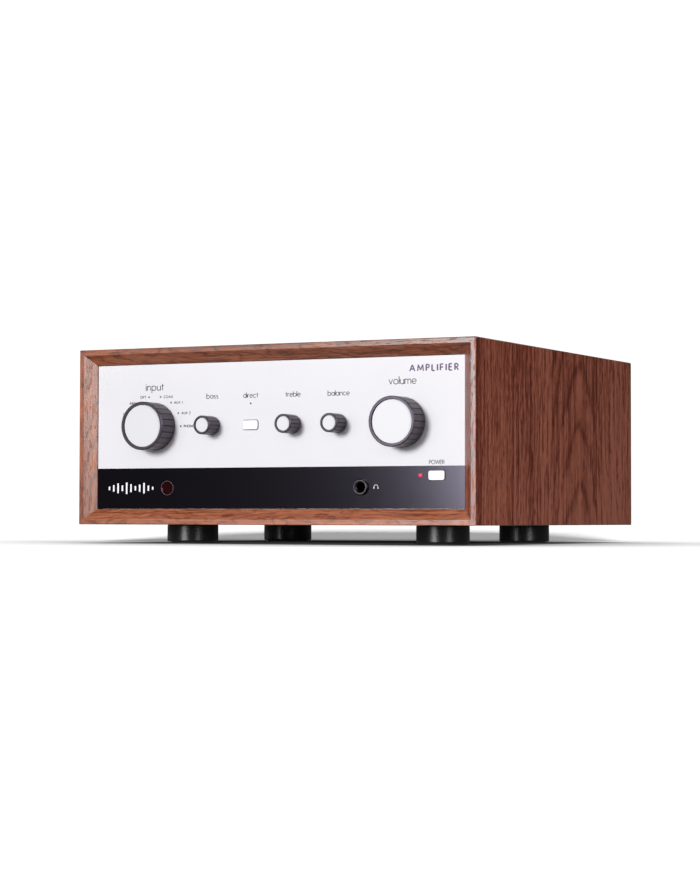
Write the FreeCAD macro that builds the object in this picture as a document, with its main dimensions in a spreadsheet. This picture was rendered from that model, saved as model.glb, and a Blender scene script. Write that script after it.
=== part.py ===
"""Integrated stereo amplifier in a mitred walnut sleeve, built as separate pieces.

Lengths are in millimetres. +X is to the right seen from the front, +Y runs from the front
to the back and +Z is up. The origin is the middle of the overall box, at the floor.
"""
import FreeCAD, Part
import os
import re

import Sketcher
from FreeCAD import Rotation, Vector

DIMENSIONS = {
    # Walnut sleeve
    "case_width": 326,
    "case_height": 131,
    "case_depth": 310,
    "front_y": -160.25,
    "board_thickness": 11.5,
    "bevel": 7.5,
    "eased_edge": 0.6,
    # Feet
    "foot_height": 14,
    "foot_radius": 19.5,
    "foot_edge": 1,
    "foot_x": 105.5,
    "foot_front": 71,
    "foot_rear": 224,
    "pad_radius": 16.5,
    "pad_thickness": 2,
    "pad_proud": 1,
    "foot_well_radius": 5,
    "foot_well_top": 8,
    "foot_screw_radius": 2,
    "foot_screw_head_radius": 4,
    "foot_screw_head": 3,
    # Fascia: white upper plate and black lower band
    "fascia_recess": 8,
    "fascia_gap": 0.4,
    "fascia_thickness": 4,
    "band_height": 30,
    # Steel chassis
    "plate_thickness": 1.5,
    "plate_gap": 0.5,
    "sheet_thickness": 1.2,
    "tray_width": 300,
    "tray_flange": 12,
    "cover_sheet": 1,
    "rear_recess": 4,
    "stud_radius": 3,
    "stud_height": 8,
    "vent_length": 60,
    "vent_width": 3,
    "vent_pitch": 8,
    "vent_left": -60,
    "vent_right": 10,
    "vent_rows": 4,
    "cover_vent_count": 12,
    # Case screws
    "case_screw_radius": 1.5,
    "case_screw_length": 8,
    "case_screw_head_radius": 3,
    "case_screw_head": 2,
    "case_screw_slot": 0.7,
    "case_screw_slot_length": 3.9,
    "case_screw_slot_depth": 1,
    "case_screw_hole_reach": 3,
    "case_screw_x": 135,
    "case_screw_inset": 7,
    # Row of rotary controls, measured above the sleeve's underside
    "control_row": 72.8,
    "input_x": -101.5,
    "bass_x": -52,
    "direct_x": -19.7,
    "treble_x": 15.3,
    "balance_x": 52.3,
    "volume_x": 103,
    "knob_gap": 0.8,
    "large_radius": 18,
    "large_reach": 18.5,
    "large_cap_radius": 15.6,
    "large_recess": 1.2,
    "large_groove": 0.55,
    "small_radius": 7,
    "small_reach": 16,
    "small_cap_radius": 5.3,
    "small_recess": 0.9,
    "small_groove": 0.5,
    "groove_half_width": 0.45,
    "knob_chamfer": 0.7,
    "cap_thickness": 2,
    "cap_edge": 0.3,
    "cap_gap": 0.2,
    "bore_floor": 3,
    "well_radius": 5.6,
    "well_depth": 3.2,
    # Shafts, bushes, nuts and the parts behind them
    "shaft_radius": 3,
    "shaft_clearance": 0.05,
    "shaft_inside": 6,
    "shaft_end_gap": 0.2,
    "bush_radius": 3.5,
    "bush_proud": 2.5,
    "bush_hole_radius": 3.6,
    "nut_corner_radius": 5.2,
    "nut_thickness": 2,
    "pot_size": 14,
    "pot_depth": 7,
    "volume_pot_size": 25,
    "volume_pot_depth": 18,
    "motor_radius": 10,
    "motor_length": 26,
    # Indicators and light pipes
    "indicator_radius": 0.7,
    "indicator_circle": 22.6,
    "indicator_step": 25.7143,
    "direct_light_row": 88.5,
    "power_light_x": 117.1,
    "power_light_radius": 1.6,
    "power_light_length": 14,
    # Buttons
    "button_width": 12.4,
    "button_height": 6.7,
    "button_corner": 1.5,
    "button_edge": 0.5,
    "button_proud": 1,
    "button_gap": 0.45,
    "button_lip": 1,
    "button_lip_gap": 0.05,
    "button_stem_radius": 2,
    "button_stem_gap": 0.2,
    "button_travel": 1,
    "lip_window_gap": 0.6,
    "power_x": 129.6,
    "power_row": 35.1,
    "switch_size": 6,
    "switch_depth": 3.5,
    # Remote control window
    "window_x": -90.4,
    "window_row": 27.1,
    "window_radius": 5.4,
    "window_gap": 0.05,
    "window_rim": 0.6,
    "window_dish": 0.6,
    "window_lip_radius": 7,
    "window_lip": 1,
    # Headphone socket, 6.35 mm
    "phones_x": 70.4,
    "phones_row": 27.1,
    "phones_bore_radius": 3.2,
    "phones_bore_depth": 31,
    "phones_mouth": 0.8,
    "phones_neck_radius": 4.5,
    "phones_neck_proud": 1.4,
    "phones_neck_gap": 0.1,
    "phones_nut_radius": 5.85,
    "phones_nut_edge": 0.7,
    "phones_body": 15,
    "phones_body_depth": 26,
    # Circuit boards
    "laminate": 1.6,
    "control_board_back": 8.5,
    "control_board_left": -130,
    "control_board_width": 272,
    "control_board_bottom": 17,
    "control_board_height": 92,
    "board_window_gap": 1,
    "main_board_left": 8,
    "main_board_width": 134,
    "main_board_front": 60,
    "main_board_length": 220,
    "stud_inset": 8,
    "input_board_left": 47,
    "input_board_width": 86,
    "input_board_bottom": 54,
    "input_board_height": 46,
    # Power supply and output stage
    "transformer_x": -85,
    "transformer_front": 112,
    "transformer_radius": 58,
    "transformer_eye": 18,
    "transformer_height": 50,
    "transformer_rounding": 10,
    "mount_plate_radius": 30,
    "mount_plate_thickness": 2,
    "mount_bolt_radius": 3,
    "mount_bolt_head": 5,
    "capacitor_radius": 15,
    "capacitor_height": 45,
    "capacitor_left": 40,
    "capacitor_front": 105,
    "capacitor_pitch": 36,
    "heatsink_right": 2,
    "heatsink_base": 4,
    "heatsink_reach": 24,
    "heatsink_front": 112,
    "heatsink_length": 170,
    "heatsink_height": 66,
    "fin_count": 17,
    "fin_thickness": 2,
    "transistor_width": 15,
    "transistor_thickness": 5,
    "transistor_height": 20,
    "transistor_row": 20,
    "transistor_first": 25,
    "transistor_pitch": 35,
    # Phono-style line sockets
    "line_left": 60,
    "line_pitch": 20,
    "line_upper": 88,
    "line_lower": 68,
    "coax_x": 120,
    "digital_row": 38,
    "line_shell_radius": 4.15,
    "line_core_radius": 3.3,
    "line_bore_radius": 1.6,
    "line_reach": 9.5,
    "line_core_reach": 9,
    "line_bore_depth": 14,
    "line_collar_radius": 5.5,
    "line_collar": 1.2,
    "line_block_width": 15,
    "line_block_gap": 4,
    "line_block_depth": 12,
    "line_block_margin": 7.5,
    # Speaker and earth terminals
    "terminal_left": -42,
    "terminal_pitch": 22,
    "terminal_row": 40,
    "post_radius": 3.2,
    "post_bore_radius": 2,
    "post_bore_depth": 20,
    "post_reach": 25,
    "post_inside": 8,
    "terminal_cap_radius": 7.5,
    "terminal_cap_start": 8,
    "terminal_cap_groove": 0.7,
    "terminal_cap_chamfer": 0.8,
    "terminal_plate_width": 88,
    "terminal_plate_height": 26,
    "terminal_plate_thickness": 3,
    "terminal_boss_radius": 5.5,
    "terminal_boss_reach": 7,
    "terminal_boss_inside": 3,
    "earth_x": 139,
    "earth_row": 68,
    "earth_post_radius": 2,
    "earth_post_reach": 13,
    "earth_knob_radius": 5,
    "earth_knob_start": 3,
    "earth_knob_end": 11,
    # Mains inlet with its switch
    "mains_x": -118,
    "mains_row": 62,
    "mains_flange_width": 31,
    "mains_flange_height": 56,
    "mains_flange_thickness": 2.5,
    "mains_body_width": 27,
    "mains_body_height": 50,
    "mains_body_depth": 22,
    "inlet_drop": 12,
    "inlet_width": 24.4,
    "inlet_height": 16.4,
    "inlet_depth": 17,
    "blade_width": 2,
    "blade_height": 4,
    "blade_spread": 7,
    "blade_drop": 2,
    "blade_setback": 1,
    "tab_length": 8,
    "rocker_rise": 13,
    "rocker_window_width": 13.4,
    "rocker_window_height": 20.4,
    "rocker_window_depth": 12,
    "rocker_width": 12.8,
    "rocker_half": 9,
    "rocker_foot_half": 6,
    "rocker_end_reach": 3.4,
    "rocker_middle_reach": 1.6,
    "rocker_heel": 4.5,
    "rocker_tilt": 8,
    # Optical socket and its shutter
    "optical_x": 98,
    "optical_body": 13,
    "optical_body_depth": 13,
    "optical_nose": 10.4,
    "optical_reach": 1,
    "optical_cavity": 8.4,
    "optical_cavity_depth": 14,
    "shutter_thickness": 0.8,
    "shutter_side_gap": 0.2,
    "shutter_setback": 4,
    # Digital sockets
    "video_x": 76,
    "video_width": 15.2,
    "video_height": 5.8,
    "video_cavity_width": 14,
    "video_cavity_height": 4.6,
    "video_tongue_width": 11,
    "video_tongue": 1.6,
    "usb_x": 54,
    "usb_width": 12,
    "usb_height": 11,
    "usb_cavity_width": 8.4,
    "usb_cavity_height": 7.8,
    "usb_tongue_width": 5.6,
    "usb_tongue": 3.2,
    "socket_reach": 0.6,
    "socket_body_depth": 12,
    "socket_cavity_depth": 10,
    "tongue_setback": 1.5,
}

KNOB_FACETS = {"large": 24, "small": 14}
TERMINAL_FACETS = 12
EARTH_KNOB_FACETS = 18
INDICATOR_COUNT = 8
LINE_PAIRS = 4
TERMINAL_COUNT = 4
TRANSISTOR_COUNT = 4
CAPACITOR_ROWS = 2
HEXAGON = 6
FULL_TURN = 360
KNOBS = {"input": "large", "bass": "small", "treble": "small", "balance": "small", "volume": "large"}

# Cutting tools run past the faces that they open, and joined pieces run into each other
OVERSHOOT = 1
TOLERANCE = 1e-6

# Planes that many pieces share, as expressions of the sheet
FASCIA = "(front_y + fascia_recess)"
PLATE = "(front_y + fascia_recess + fascia_thickness)"
INSIDE = "(front_y + fascia_recess + fascia_thickness + plate_thickness)"
REAR = "(front_y + case_depth - rear_recess)"
REAR_INSIDE = "(front_y + case_depth - rear_recess - plate_thickness)"
FLOOR = "(foot_height + board_thickness)"
TRAY = "(foot_height + board_thickness + sheet_thickness)"
OPENING_WIDTH = "(case_width - 2 * board_thickness)"
OPENING_HEIGHT = "(case_height - 2 * board_thickness)"

# Local frames: z points out of the front, out of the back, up, or to the right
FRONT = Rotation(Vector(1, 0, 0), 90)
BACK = Rotation(Vector(0, 0, 1), 180) * FRONT
UP = Rotation()
ACROSS = Rotation(Vector(0, 1, 0), Vector(0, 0, 1), Vector(1, 0, 0))
ALONG_Y = Rotation(Vector(1, 0, 0), -90)

doc = FreeCAD.newDocument("integrated_amplifier")
sheet = doc.addObject("Spreadsheet::Sheet", "dims")
nodes = []


# ---------------------------------------------------------------- tools of the drawing

def fill_sheet():
    for row, (alias, size) in enumerate(DIMENSIONS.items(), start=1):
        sheet.set(f"A{row}", alias)
        sheet.set(f"B{row}", str(size))
        sheet.setAlias(f"B{row}", alias)
    doc.recompute()


def bound(expression):
    """The expression with every alias written as a cell of the sheet."""
    def cell(match):
        word = match.group()
        return f"dims.{word}" if word in DIMENSIONS else word
    return re.sub(r"[a-z]\w*", cell, str(expression))


def measure(expression):
    return float(sheet.evalExpression(bound(expression)))


def bind(thing, **expressions):
    for name, expression in expressions.items():
        thing.setExpression(name, bound(expression))


def place(thing, at, turn=UP):
    thing.Placement = FreeCAD.Placement(Vector(), turn)
    for axis, expression in zip("xyz", at):
        thing.setExpression(f"Placement.Base.{axis}", bound(expression))


def keep(thing, label):
    """Give a finished sub-part its name and list it for export."""
    thing.Label = label
    nodes.append(thing)
    return thing


def box(low, size):
    """A block from its low corner."""
    block = doc.addObject("Part::Box", "box")
    bind(block, Length=size[0], Width=size[1], Height=size[2])
    place(block, low)
    return block


def block_on_axis(x, y, z, width, depth, height):
    """A block centred on x and z that starts at y and runs back."""
    return box((f"{x} - {width} / 2", y, f"{z} - {height} / 2"), (width, depth, height))


def rod(at, radius, length, turn=ALONG_Y):
    """A cylinder that starts at a point and runs back, or up with turn=UP."""
    cylinder = doc.addObject("Part::Cylinder", "rod")
    bind(cylinder, Radius=radius, Height=length)
    place(cylinder, at, turn)
    return cylinder


def together(*things):
    """Separate solids held as one group."""
    group = doc.addObject("Part::Compound", "group")
    group.Links = list(things)
    return group


def fuse(*things):
    joined = doc.addObject("Part::MultiFuse", "fuse")
    joined.Shapes = list(things)
    return joined


def cut(base, *tools):
    result = doc.addObject("Part::Cut", "cut")
    result.Base = base
    result.Tool = tools[0] if len(tools) == 1 else together(*tools)
    return result


def new_body(at=(0, 0, 0), turn=UP):
    body = doc.addObject("PartDesign::Body", "body")
    place(body, at, turn)
    return body


def front_body(x, row, plane=FASCIA):
    """A body whose origin lies on a front plane, with z out towards the listener."""
    return new_body((x, plane, f"foot_height + {row}"), FRONT)


def origin_feature(body, role):
    return next(item for item in body.Origin.OriginFeatures if item.Role == role)


def pin_point(drawing, index, end, x, y):
    """Fix one sketch point to the origin by two dimensions bound to the sheet."""
    for kind, expression in (("DistanceX", x), ("DistanceY", y)):
        rule = Sketcher.Constraint(kind, -1, 1, index, end, measure(expression))
        number = drawing.addConstraint(rule)
        drawing.setExpression(f"Constraints[{number}]", bound(expression))


def sketch(body, plane, outlines=(), circles=(), level=0):
    drawing = body.newObject("Sketcher::SketchObject", "sketch")
    drawing.AttachmentSupport = [(origin_feature(body, plane), "")]
    drawing.MapMode = "FlatFace"
    drawing.setExpression("AttachmentOffset.Base.z", bound(level))
    for outline in outlines:
        first = drawing.GeometryCount
        corners = [Vector(measure(x), measure(y), 0) for x, y in outline]
        for start, end in zip(corners, corners[1:] + corners[:1]):
            drawing.addGeometry(Part.LineSegment(start, end), False)
        for step, (x, y) in enumerate(outline):
            following = first + (step + 1) % len(outline)
            drawing.addConstraint(Sketcher.Constraint("Coincident", first + step, 2, following, 1))
            pin_point(drawing, first + step, 1, x, y)
    for x, y, radius in circles:
        ring = Part.Circle(Vector(measure(x), measure(y), 0), Vector(0, 0, 1), measure(radius))
        index = drawing.addGeometry(ring, False)
        number = drawing.addConstraint(Sketcher.Constraint("Radius", index, measure(radius)))
        drawing.setExpression(f"Constraints[{number}]", bound(radius))
        pin_point(drawing, index, 3, x, y)
    return drawing


def pad(body, low, high, outlines=(), circles=()):
    """Raise a profile along the body's z from low to high."""
    feature = body.newObject("PartDesign::Pad", "pad")
    feature.Profile = sketch(body, "XY_Plane", outlines, circles, low)
    bind(feature, Length=f"{high} - ({low})")
    doc.recompute()
    return feature


def expect_less(feature, before):
    if feature.Shape.Volume >= before - TOLERANCE:
        raise RuntimeError(f"{feature.Name} removes nothing")
    return feature


def pocket(body, low, high, outlines=(), circles=()):
    """Sink a profile along the body's z from high down to low."""
    before = body.Shape.Volume
    feature = body.newObject("PartDesign::Pocket", "pocket")
    feature.Profile = sketch(body, "XY_Plane", outlines, circles, high)
    bind(feature, Length=f"{high} - ({low})")
    doc.recompute()
    return expect_less(feature, before)


def revolve(body, outline):
    """Turn a profile of (radius, height) points about the body's z."""
    feature = body.newObject("PartDesign::Revolution", "revolution")
    feature.Profile = sketch(body, "XZ_Plane", [outline])
    feature.ReferenceAxis = (feature.Profile[0], ["V_Axis"])
    feature.Angle = FULL_TURN
    doc.recompute()
    return feature


def groove(body, *outlines):
    """Cut profiles of (radius, height) points all the way round the body's z."""
    before = body.Shape.Volume
    feature = body.newObject("PartDesign::Groove", "groove")
    feature.Profile = sketch(body, "XZ_Plane", outlines)
    feature.ReferenceAxis = (feature.Profile[0], ["V_Axis"])
    feature.Angle = FULL_TURN
    doc.recompute()
    return expect_less(feature, before)


def soften(body, kind, size, chosen):
    """A Fillet or Chamfer on every edge that the test chooses."""
    base = body.Tip
    edges = [f"Edge{i}" for i, edge in enumerate(base.Shape.Edges, start=1) if chosen(edge)]
    if not edges:
        raise RuntimeError(f"no edge of {body.Name} to soften")
    feature = body.newObject(f"PartDesign::{kind}", kind.lower())
    feature.Base = (base, edges)
    bind(feature, **{"Radius" if kind == "Fillet" else "Size": size})
    doc.recompute()
    return feature


def rectangle(x, y, width, height):
    left, right = f"{x} - {width} / 2", f"{x} + {width} / 2"
    bottom, top = f"{y} - {height} / 2", f"{y} + {height} / 2"
    return [(left, bottom), (right, bottom), (right, top), (left, top)]


def fluted_barrel(body, radius, low, high, facets, depth):
    """A many-sided barrel along z with a narrow groove down each corner."""
    barrel = body.newObject("PartDesign::AdditivePrism", "barrel")
    barrel.AttachmentSupport = [(origin_feature(body, "XY_Plane"), "")]
    barrel.MapMode = "FlatFace"
    barrel.Polygon = facets
    barrel.setExpression("AttachmentOffset.Base.z", bound(low))
    bind(barrel, Circumradius=radius, Height=f"{high} - ({low})")
    doc.recompute()
    notch = [
        (f"{radius} - {depth}", 0),
        (f"{radius} + {depth}", "2 * groove_half_width"),
        (f"{radius} + {depth}", "-2 * groove_half_width"),
    ]
    first = pocket(body, f"{low} - {OVERSHOOT}", f"{high} + {OVERSHOOT}", [notch])
    before = body.Shape.Volume
    pattern = body.newObject("PartDesign::PolarPattern", "flutes")
    pattern.Originals = [first]
    pattern.Axis = (origin_feature(body, "Z_Axis"), [""])
    pattern.Angle = FULL_TURN
    pattern.Occurrences = facets
    body.Tip = pattern
    doc.recompute()
    return expect_less(pattern, before)


# ---------------------------------------------------------------- walnut sleeve and feet

def sleeve_board(long_side, edge_sign):
    """One mitred board. long_side is 'x' for top and bottom, 'z' for the two sides."""
    half_long, half_wide = "case_width / 2", "case_height / 2"
    if long_side == "z":
        half_long, half_wide = half_wide, half_long
    ease = "eased_edge"
    outline = []
    for sign, order in ((-1, 1), (1, -1)):
        corner = [
            (f"{sign} * ({half_long} - board_thickness)", f"({half_wide} - board_thickness)"),
            (f"{sign} * ({half_long} - {ease} / 2)", f"({half_wide} - {ease} / 2)"),
            (f"{sign} * ({half_long} - {ease})", f"({half_wide})"),
        ]
        outline += corner[::order]
    outline = [(along, f"{edge_sign} * {across}") for along, across in outline]
    if long_side == "z":
        outline = [(across, along) for along, across in outline]
    outline = [(x, f"{z} + case_height / 2") for x, z in outline]
    body = new_body((0, "front_y", "foot_height"), FRONT)
    pad(body, "-case_depth", 0, [outline])
    soften_front_edges(body, long_side, half_wide, edge_sign)
    return body


def soften_front_edges(body, long_side, half_wide, edge_sign):
    """The wide bevel towards the fascia and the eased arris outside."""
    middle = 0 if long_side == "z" else measure("case_height / 2")
    outer = middle + edge_sign * measure(half_wide)
    inner = outer - edge_sign * measure("board_thickness")

    def on_front_at(across):
        def chosen(edge):
            centre = edge.BoundBox.Center
            place_across = centre.x if long_side == "z" else centre.y
            return abs(centre.z) < TOLERANCE and abs(place_across - across) < TOLERANCE
        return chosen

    soften(body, "Chamfer", "bevel", on_front_at(inner))
    soften(body, "Fillet", "eased_edge", on_front_at(outer))


def foot_places():
    return [(x, f"front_y + {y}") for y in ("foot_front", "foot_rear") for x in ("-foot_x", "foot_x")]


def make_sleeve():
    keep(sleeve_board("x", 1), "cabinet_top")
    keep(sleeve_board("z", -1), "cabinet_left")
    keep(sleeve_board("z", 1), "cabinet_right")
    screw_holes = [rod((x, y, f"foot_height - {OVERSHOOT}"), "foot_screw_radius",
                       f"board_thickness + {2 * OVERSHOOT}", UP) for x, y in foot_places()]
    keep(cut(sleeve_board("x", -1), *screw_holes), "cabinet_bottom")


def foot(x, y):
    body = new_body((x, y, 0))
    revolve(body, [
        ("foot_screw_radius", "foot_height"),
        ("foot_radius", "foot_height"),
        ("foot_radius", "pad_proud"),
        ("pad_radius", "pad_proud"),
        ("pad_radius", "pad_thickness"),
        ("foot_well_radius", "pad_thickness"),
        ("foot_well_radius", "foot_well_top"),
        ("foot_screw_radius", "foot_well_top"),
    ])
    rim = measure("foot_radius")
    soften(body, "Fillet", "foot_edge", lambda edge: abs(edge.BoundBox.XMax - rim) < TOLERANCE
           and edge.BoundBox.ZLength < TOLERANCE)
    return body


def make_feet():
    feet, pads, screws = [], [], []
    for x, y in foot_places():
        feet.append(foot(x, y))
        disc = rod((x, y, 0), "pad_radius", "pad_thickness", UP)
        hole = rod((x, y, -OVERSHOOT), "foot_well_radius", f"pad_thickness + {2 * OVERSHOOT}", UP)
        pads.append(cut(disc, hole))
        head = rod((x, y, "foot_well_top - foot_screw_head"),
                   "foot_screw_head_radius", "foot_screw_head", UP)
        shank = rod((x, y, f"foot_well_top - {OVERSHOOT}"), "foot_screw_radius",
                    f"{TRAY} - foot_well_top + {OVERSHOOT}", UP)
        screws.append(fuse(head, shank))
    keep(together(*feet), "feet")
    keep(together(*pads), "foot_pads")
    keep(together(*screws), "foot_screws")


# ---------------------------------------------------------------- chassis and rear panel

def case_screw_places():
    rows = (f"{FLOOR} + case_screw_inset", f"{FLOOR} + {OPENING_HEIGHT} - case_screw_inset")
    return [(x, z) for z in rows for x in ("-case_screw_x", "0", "case_screw_x")]


def case_screw_holes():
    return [rod((x, f"{REAR_INSIDE} - case_screw_hole_reach", z), "case_screw_radius",
                "plate_thickness + 2 * case_screw_hole_reach") for x, z in case_screw_places()]


def stud_places():
    across = ("main_board_left + stud_inset", "main_board_left + main_board_width - stud_inset")
    along = ("main_board_front + stud_inset", "main_board_front + main_board_length - stud_inset")
    return [(x, f"front_y + {y}") for x in across for y in along]


def make_chassis_base():
    body = new_body((0, INSIDE, FLOOR), FRONT)
    depth = f"({REAR_INSIDE} - {INSIDE})"
    half = "(tray_width / 2)"
    profile = [
        (f"-{half}", 0),
        (half, 0),
        (half, "tray_flange"),
        (f"{half} - sheet_thickness", "tray_flange"),
        (f"{half} - sheet_thickness", "sheet_thickness"),
        (f"sheet_thickness - {half}", "sheet_thickness"),
        (f"sheet_thickness - {half}", "tray_flange"),
        (f"-{half}", "tray_flange"),
    ]
    pad(body, f"-{depth}", 0, [profile])
    rear_flange = rectangle(0, "tray_flange / 2", "tray_width", "tray_flange")
    pad(body, f"-{depth}", f"sheet_thickness - {depth}", [rear_flange])
    studs = [rod((x, y, FLOOR), "stud_radius", "sheet_thickness + stud_height", UP)
             for x, y in stud_places()]
    through = f"sheet_thickness + {2 * OVERSHOOT}"
    holes = [rod((x, y, f"{FLOOR} - {OVERSHOOT}"), "foot_screw_radius", through, UP)
             for x, y in foot_places()]
    holes.append(rod(("transformer_x", "front_y + transformer_front", f"{FLOOR} - {OVERSHOOT}"),
                     "mount_bolt_radius", through, UP))
    keep(cut(fuse(body, *studs), *holes, *case_screw_holes()), "chassis_base")


def make_chassis_cover():
    """The inverted U over the tray, slotted above the heatsink, with a rear flange."""
    body = new_body((0, INSIDE, FLOOR), FRONT)
    depth = f"({REAR_INSIDE} - {INSIDE})"
    inner = "(tray_width / 2)"
    outer = "(tray_width / 2 + cover_sheet)"
    top = f"({OPENING_HEIGHT} - plate_gap)"
    profile = [
        (f"-{outer}", "plate_gap"),
        (f"-{inner}", "plate_gap"),
        (f"-{inner}", f"{top} - cover_sheet"),
        (inner, f"{top} - cover_sheet"),
        (inner, "plate_gap"),
        (outer, "plate_gap"),
        (outer, top),
        (f"-{outer}", top),
    ]
    pad(body, f"-{depth}", 0, [profile])
    flange = rectangle(0, f"{top} - tray_flange / 2", "tray_width", "tray_flange")
    pad(body, f"-{depth}", f"cover_sheet - {depth}", [flange])
    slots = []
    for step in range(int(measure("cover_vent_count"))):
        low = ("-vent_length", f"front_y + heatsink_front + {step} * vent_pitch",
               f"{FLOOR} + {top} - cover_sheet - {OVERSHOOT}")
        slots.append(box(low, ("vent_length", "vent_width", f"cover_sheet + {2 * OVERSHOOT}")))
    keep(cut(body, *slots, *case_screw_holes()), "chassis_cover")


def make_chassis_front():
    body = new_body((0, PLATE, "foot_height + board_thickness"), FRONT)
    width, height = f"({OPENING_WIDTH} - 2 * plate_gap)", f"({OPENING_HEIGHT} - 2 * plate_gap)"
    pad(body, "-plate_thickness", 0, [rectangle(0, f"({OPENING_HEIGHT} / 2)", width, height)])
    row = "(control_row - board_thickness)"
    circles = [(f"{name}_x", row, "bush_radius") for name in KNOBS]
    circles += [
        ("phones_x", "phones_row - board_thickness", "phones_neck_radius"),
        ("window_x", "window_row - board_thickness", "window_lip_radius + window_gap"),
        ("power_light_x", "power_row - board_thickness", "power_light_radius"),
    ]
    lip_width = "(button_width + 2 * button_lip + 2 * lip_window_gap)"
    lip_height = "(button_height + 2 * button_lip + 2 * lip_window_gap)"
    windows = [
        rectangle("direct_x", row, lip_width, lip_height),
        rectangle("power_x", "(power_row - board_thickness)", lip_width, lip_height),
    ]
    pocket(body, f"-plate_thickness - {OVERSHOOT}", OVERSHOOT, windows, circles)
    keep(body, "chassis_front")


def terminal_places():
    return [f"(terminal_left + {step} * terminal_pitch)" for step in range(TERMINAL_COUNT)]


def line_places():
    """Every analogue socket: four pairs, upper and lower row."""
    across = [f"(line_left + {step} * line_pitch)" for step in range(LINE_PAIRS)]
    return [(x, z) for x in across for z in ("line_upper", "line_lower")]


def make_rear_panel():
    """Drawn with z towards the front, so that x and the rows read as on the rest."""
    body = new_body((0, REAR, "foot_height"), FRONT)
    width, height = f"({OPENING_WIDTH} - 2 * plate_gap)", f"({OPENING_HEIGHT} - 2 * plate_gap)"
    pad(body, 0, "plate_thickness", [rectangle(0, "(case_height / 2)", width, height)])
    circles = [(x, z, "line_shell_radius") for x, z in line_places()]
    circles += [(x, "terminal_row", "terminal_boss_radius") for x in terminal_places()]
    circles += [
        ("coax_x", "digital_row", "line_shell_radius"),
        ("earth_x", "earth_row", "earth_post_radius"),
    ]
    circles += [(x, f"{z} - foot_height", "case_screw_radius") for x, z in case_screw_places()]
    windows = [
        rectangle("mains_x", "mains_row", "mains_body_width", "mains_body_height"),
        rectangle("optical_x", "digital_row", "optical_nose", "optical_nose"),
        rectangle("video_x", "digital_row", "video_width", "video_height"),
        rectangle("usb_x", "digital_row", "usb_width", "usb_height"),
    ]
    for step in range(int(measure("vent_rows"))):
        for middle in ("vent_left", "vent_right"):
            windows.append(rectangle(middle, f"(line_lower + {step} * vent_pitch)",
                                     "vent_length", "vent_width"))
    pocket(body, f"-{OVERSHOOT}", f"plate_thickness + {OVERSHOOT}", windows, circles)
    keep(body, "rear_panel")


def make_case_screws():
    screws = []
    for x, z in case_screw_places():
        head = rod((x, REAR, z), "case_screw_head_radius", "case_screw_head")
        shank = rod((x, f"{REAR} - case_screw_length", z), "case_screw_radius",
                    f"case_screw_length + {OVERSHOOT}")
        start = f"{REAR} + case_screw_head - case_screw_slot_depth"
        depth = f"case_screw_slot_depth + {OVERSHOOT}"
        slots = [
            block_on_axis(x, start, z, "case_screw_slot", depth, "case_screw_slot_length"),
            block_on_axis(x, start, z, "case_screw_slot_length", depth, "case_screw_slot"),
        ]
        screws.append(cut(fuse(head, shank), *slots))
    keep(together(*screws), "case_screws")


# ---------------------------------------------------------------- fascia, lights, buttons

def button_window(x, row):
    return rectangle(x, row, "(button_width + 2 * button_gap)", "(button_height + 2 * button_gap)")


def round_window(body, x, row):
    """Round the four corners of a button's window."""
    half_width = measure("button_width / 2 + button_gap")
    half_height = measure("button_height / 2 + button_gap")

    def chosen(edge):
        centre = edge.BoundBox.Center
        beside = abs(abs(centre.x - measure(x)) - half_width) < TOLERANCE
        level = abs(abs(centre.y - measure(row)) - half_height) < TOLERANCE
        return beside and level and edge.BoundBox.ZLength > TOLERANCE

    soften(body, "Fillet", "button_corner + button_gap", chosen)


def indicator_places():
    around = [(f"(input_x + indicator_circle * cos({step} * indicator_step))",
               f"(control_row + indicator_circle * sin({step} * indicator_step))")
              for step in range(INDICATOR_COUNT)]
    return around + [("direct_x", "direct_light_row")]


def fascia_plate(bottom, height, windows, circles):
    body = new_body((0, FASCIA, "foot_height"), FRONT)
    width = f"({OPENING_WIDTH} - 2 * fascia_gap)"
    pad(body, "-fascia_thickness", 0, [rectangle(0, f"({bottom} + {height} / 2)", width, height)])
    pocket(body, f"-fascia_thickness - {OVERSHOOT}", OVERSHOOT, windows, circles)
    return body


def make_fascia():
    bottom = "(board_thickness + fascia_gap)"
    knobs = [(f"{name}_x", "control_row", "bush_hole_radius") for name in KNOBS]
    lights = [(x, z, "indicator_radius") for x, z in indicator_places()]
    upper_height = f"({OPENING_HEIGHT} - 2 * fascia_gap - band_height)"
    upper = fascia_plate(f"({bottom} + band_height)", upper_height,
                         [button_window("direct_x", "control_row")], knobs + lights)
    round_window(upper, "direct_x", "control_row")
    keep(upper, "fascia_upper")
    lower = fascia_plate(bottom, "band_height", [button_window("power_x", "power_row")], [
        ("window_x", "window_row", "window_radius + window_gap"),
        ("phones_x", "phones_row", "phones_neck_radius + phones_neck_gap"),
        ("power_light_x", "power_row", "power_light_radius"),
    ])
    round_window(lower, "power_x", "power_row")
    keep(lower, "fascia_lower")


def make_lights():
    pipes = [rod((x, FASCIA, f"foot_height + {z}"), "indicator_radius", "fascia_thickness")
             for x, z in indicator_places()]
    keep(together(*pipes), "indicator_leds")
    stem = rod(("power_light_x", FASCIA, "foot_height + power_row"),
               "power_light_radius", "power_light_length")
    dome = doc.addObject("Part::Sphere", "dome")
    bind(dome, Radius="power_light_radius")
    place(dome, ("power_light_x", FASCIA, "foot_height + power_row"))
    keep(fuse(stem, dome), "power_led")


def make_window():
    body = front_body("window_x", "window_row")
    revolve(body, [
        (0, "-window_dish"),
        ("window_radius - window_rim - window_dish", "-window_dish"),
        ("window_radius - window_rim", 0),
        ("window_radius", 0),
        ("window_radius", "-fascia_thickness"),
        ("window_lip_radius", "-fascia_thickness"),
        ("window_lip_radius", "-fascia_thickness - window_lip"),
        (0, "-fascia_thickness - window_lip"),
    ])
    keep(body, "ir_window")


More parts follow.
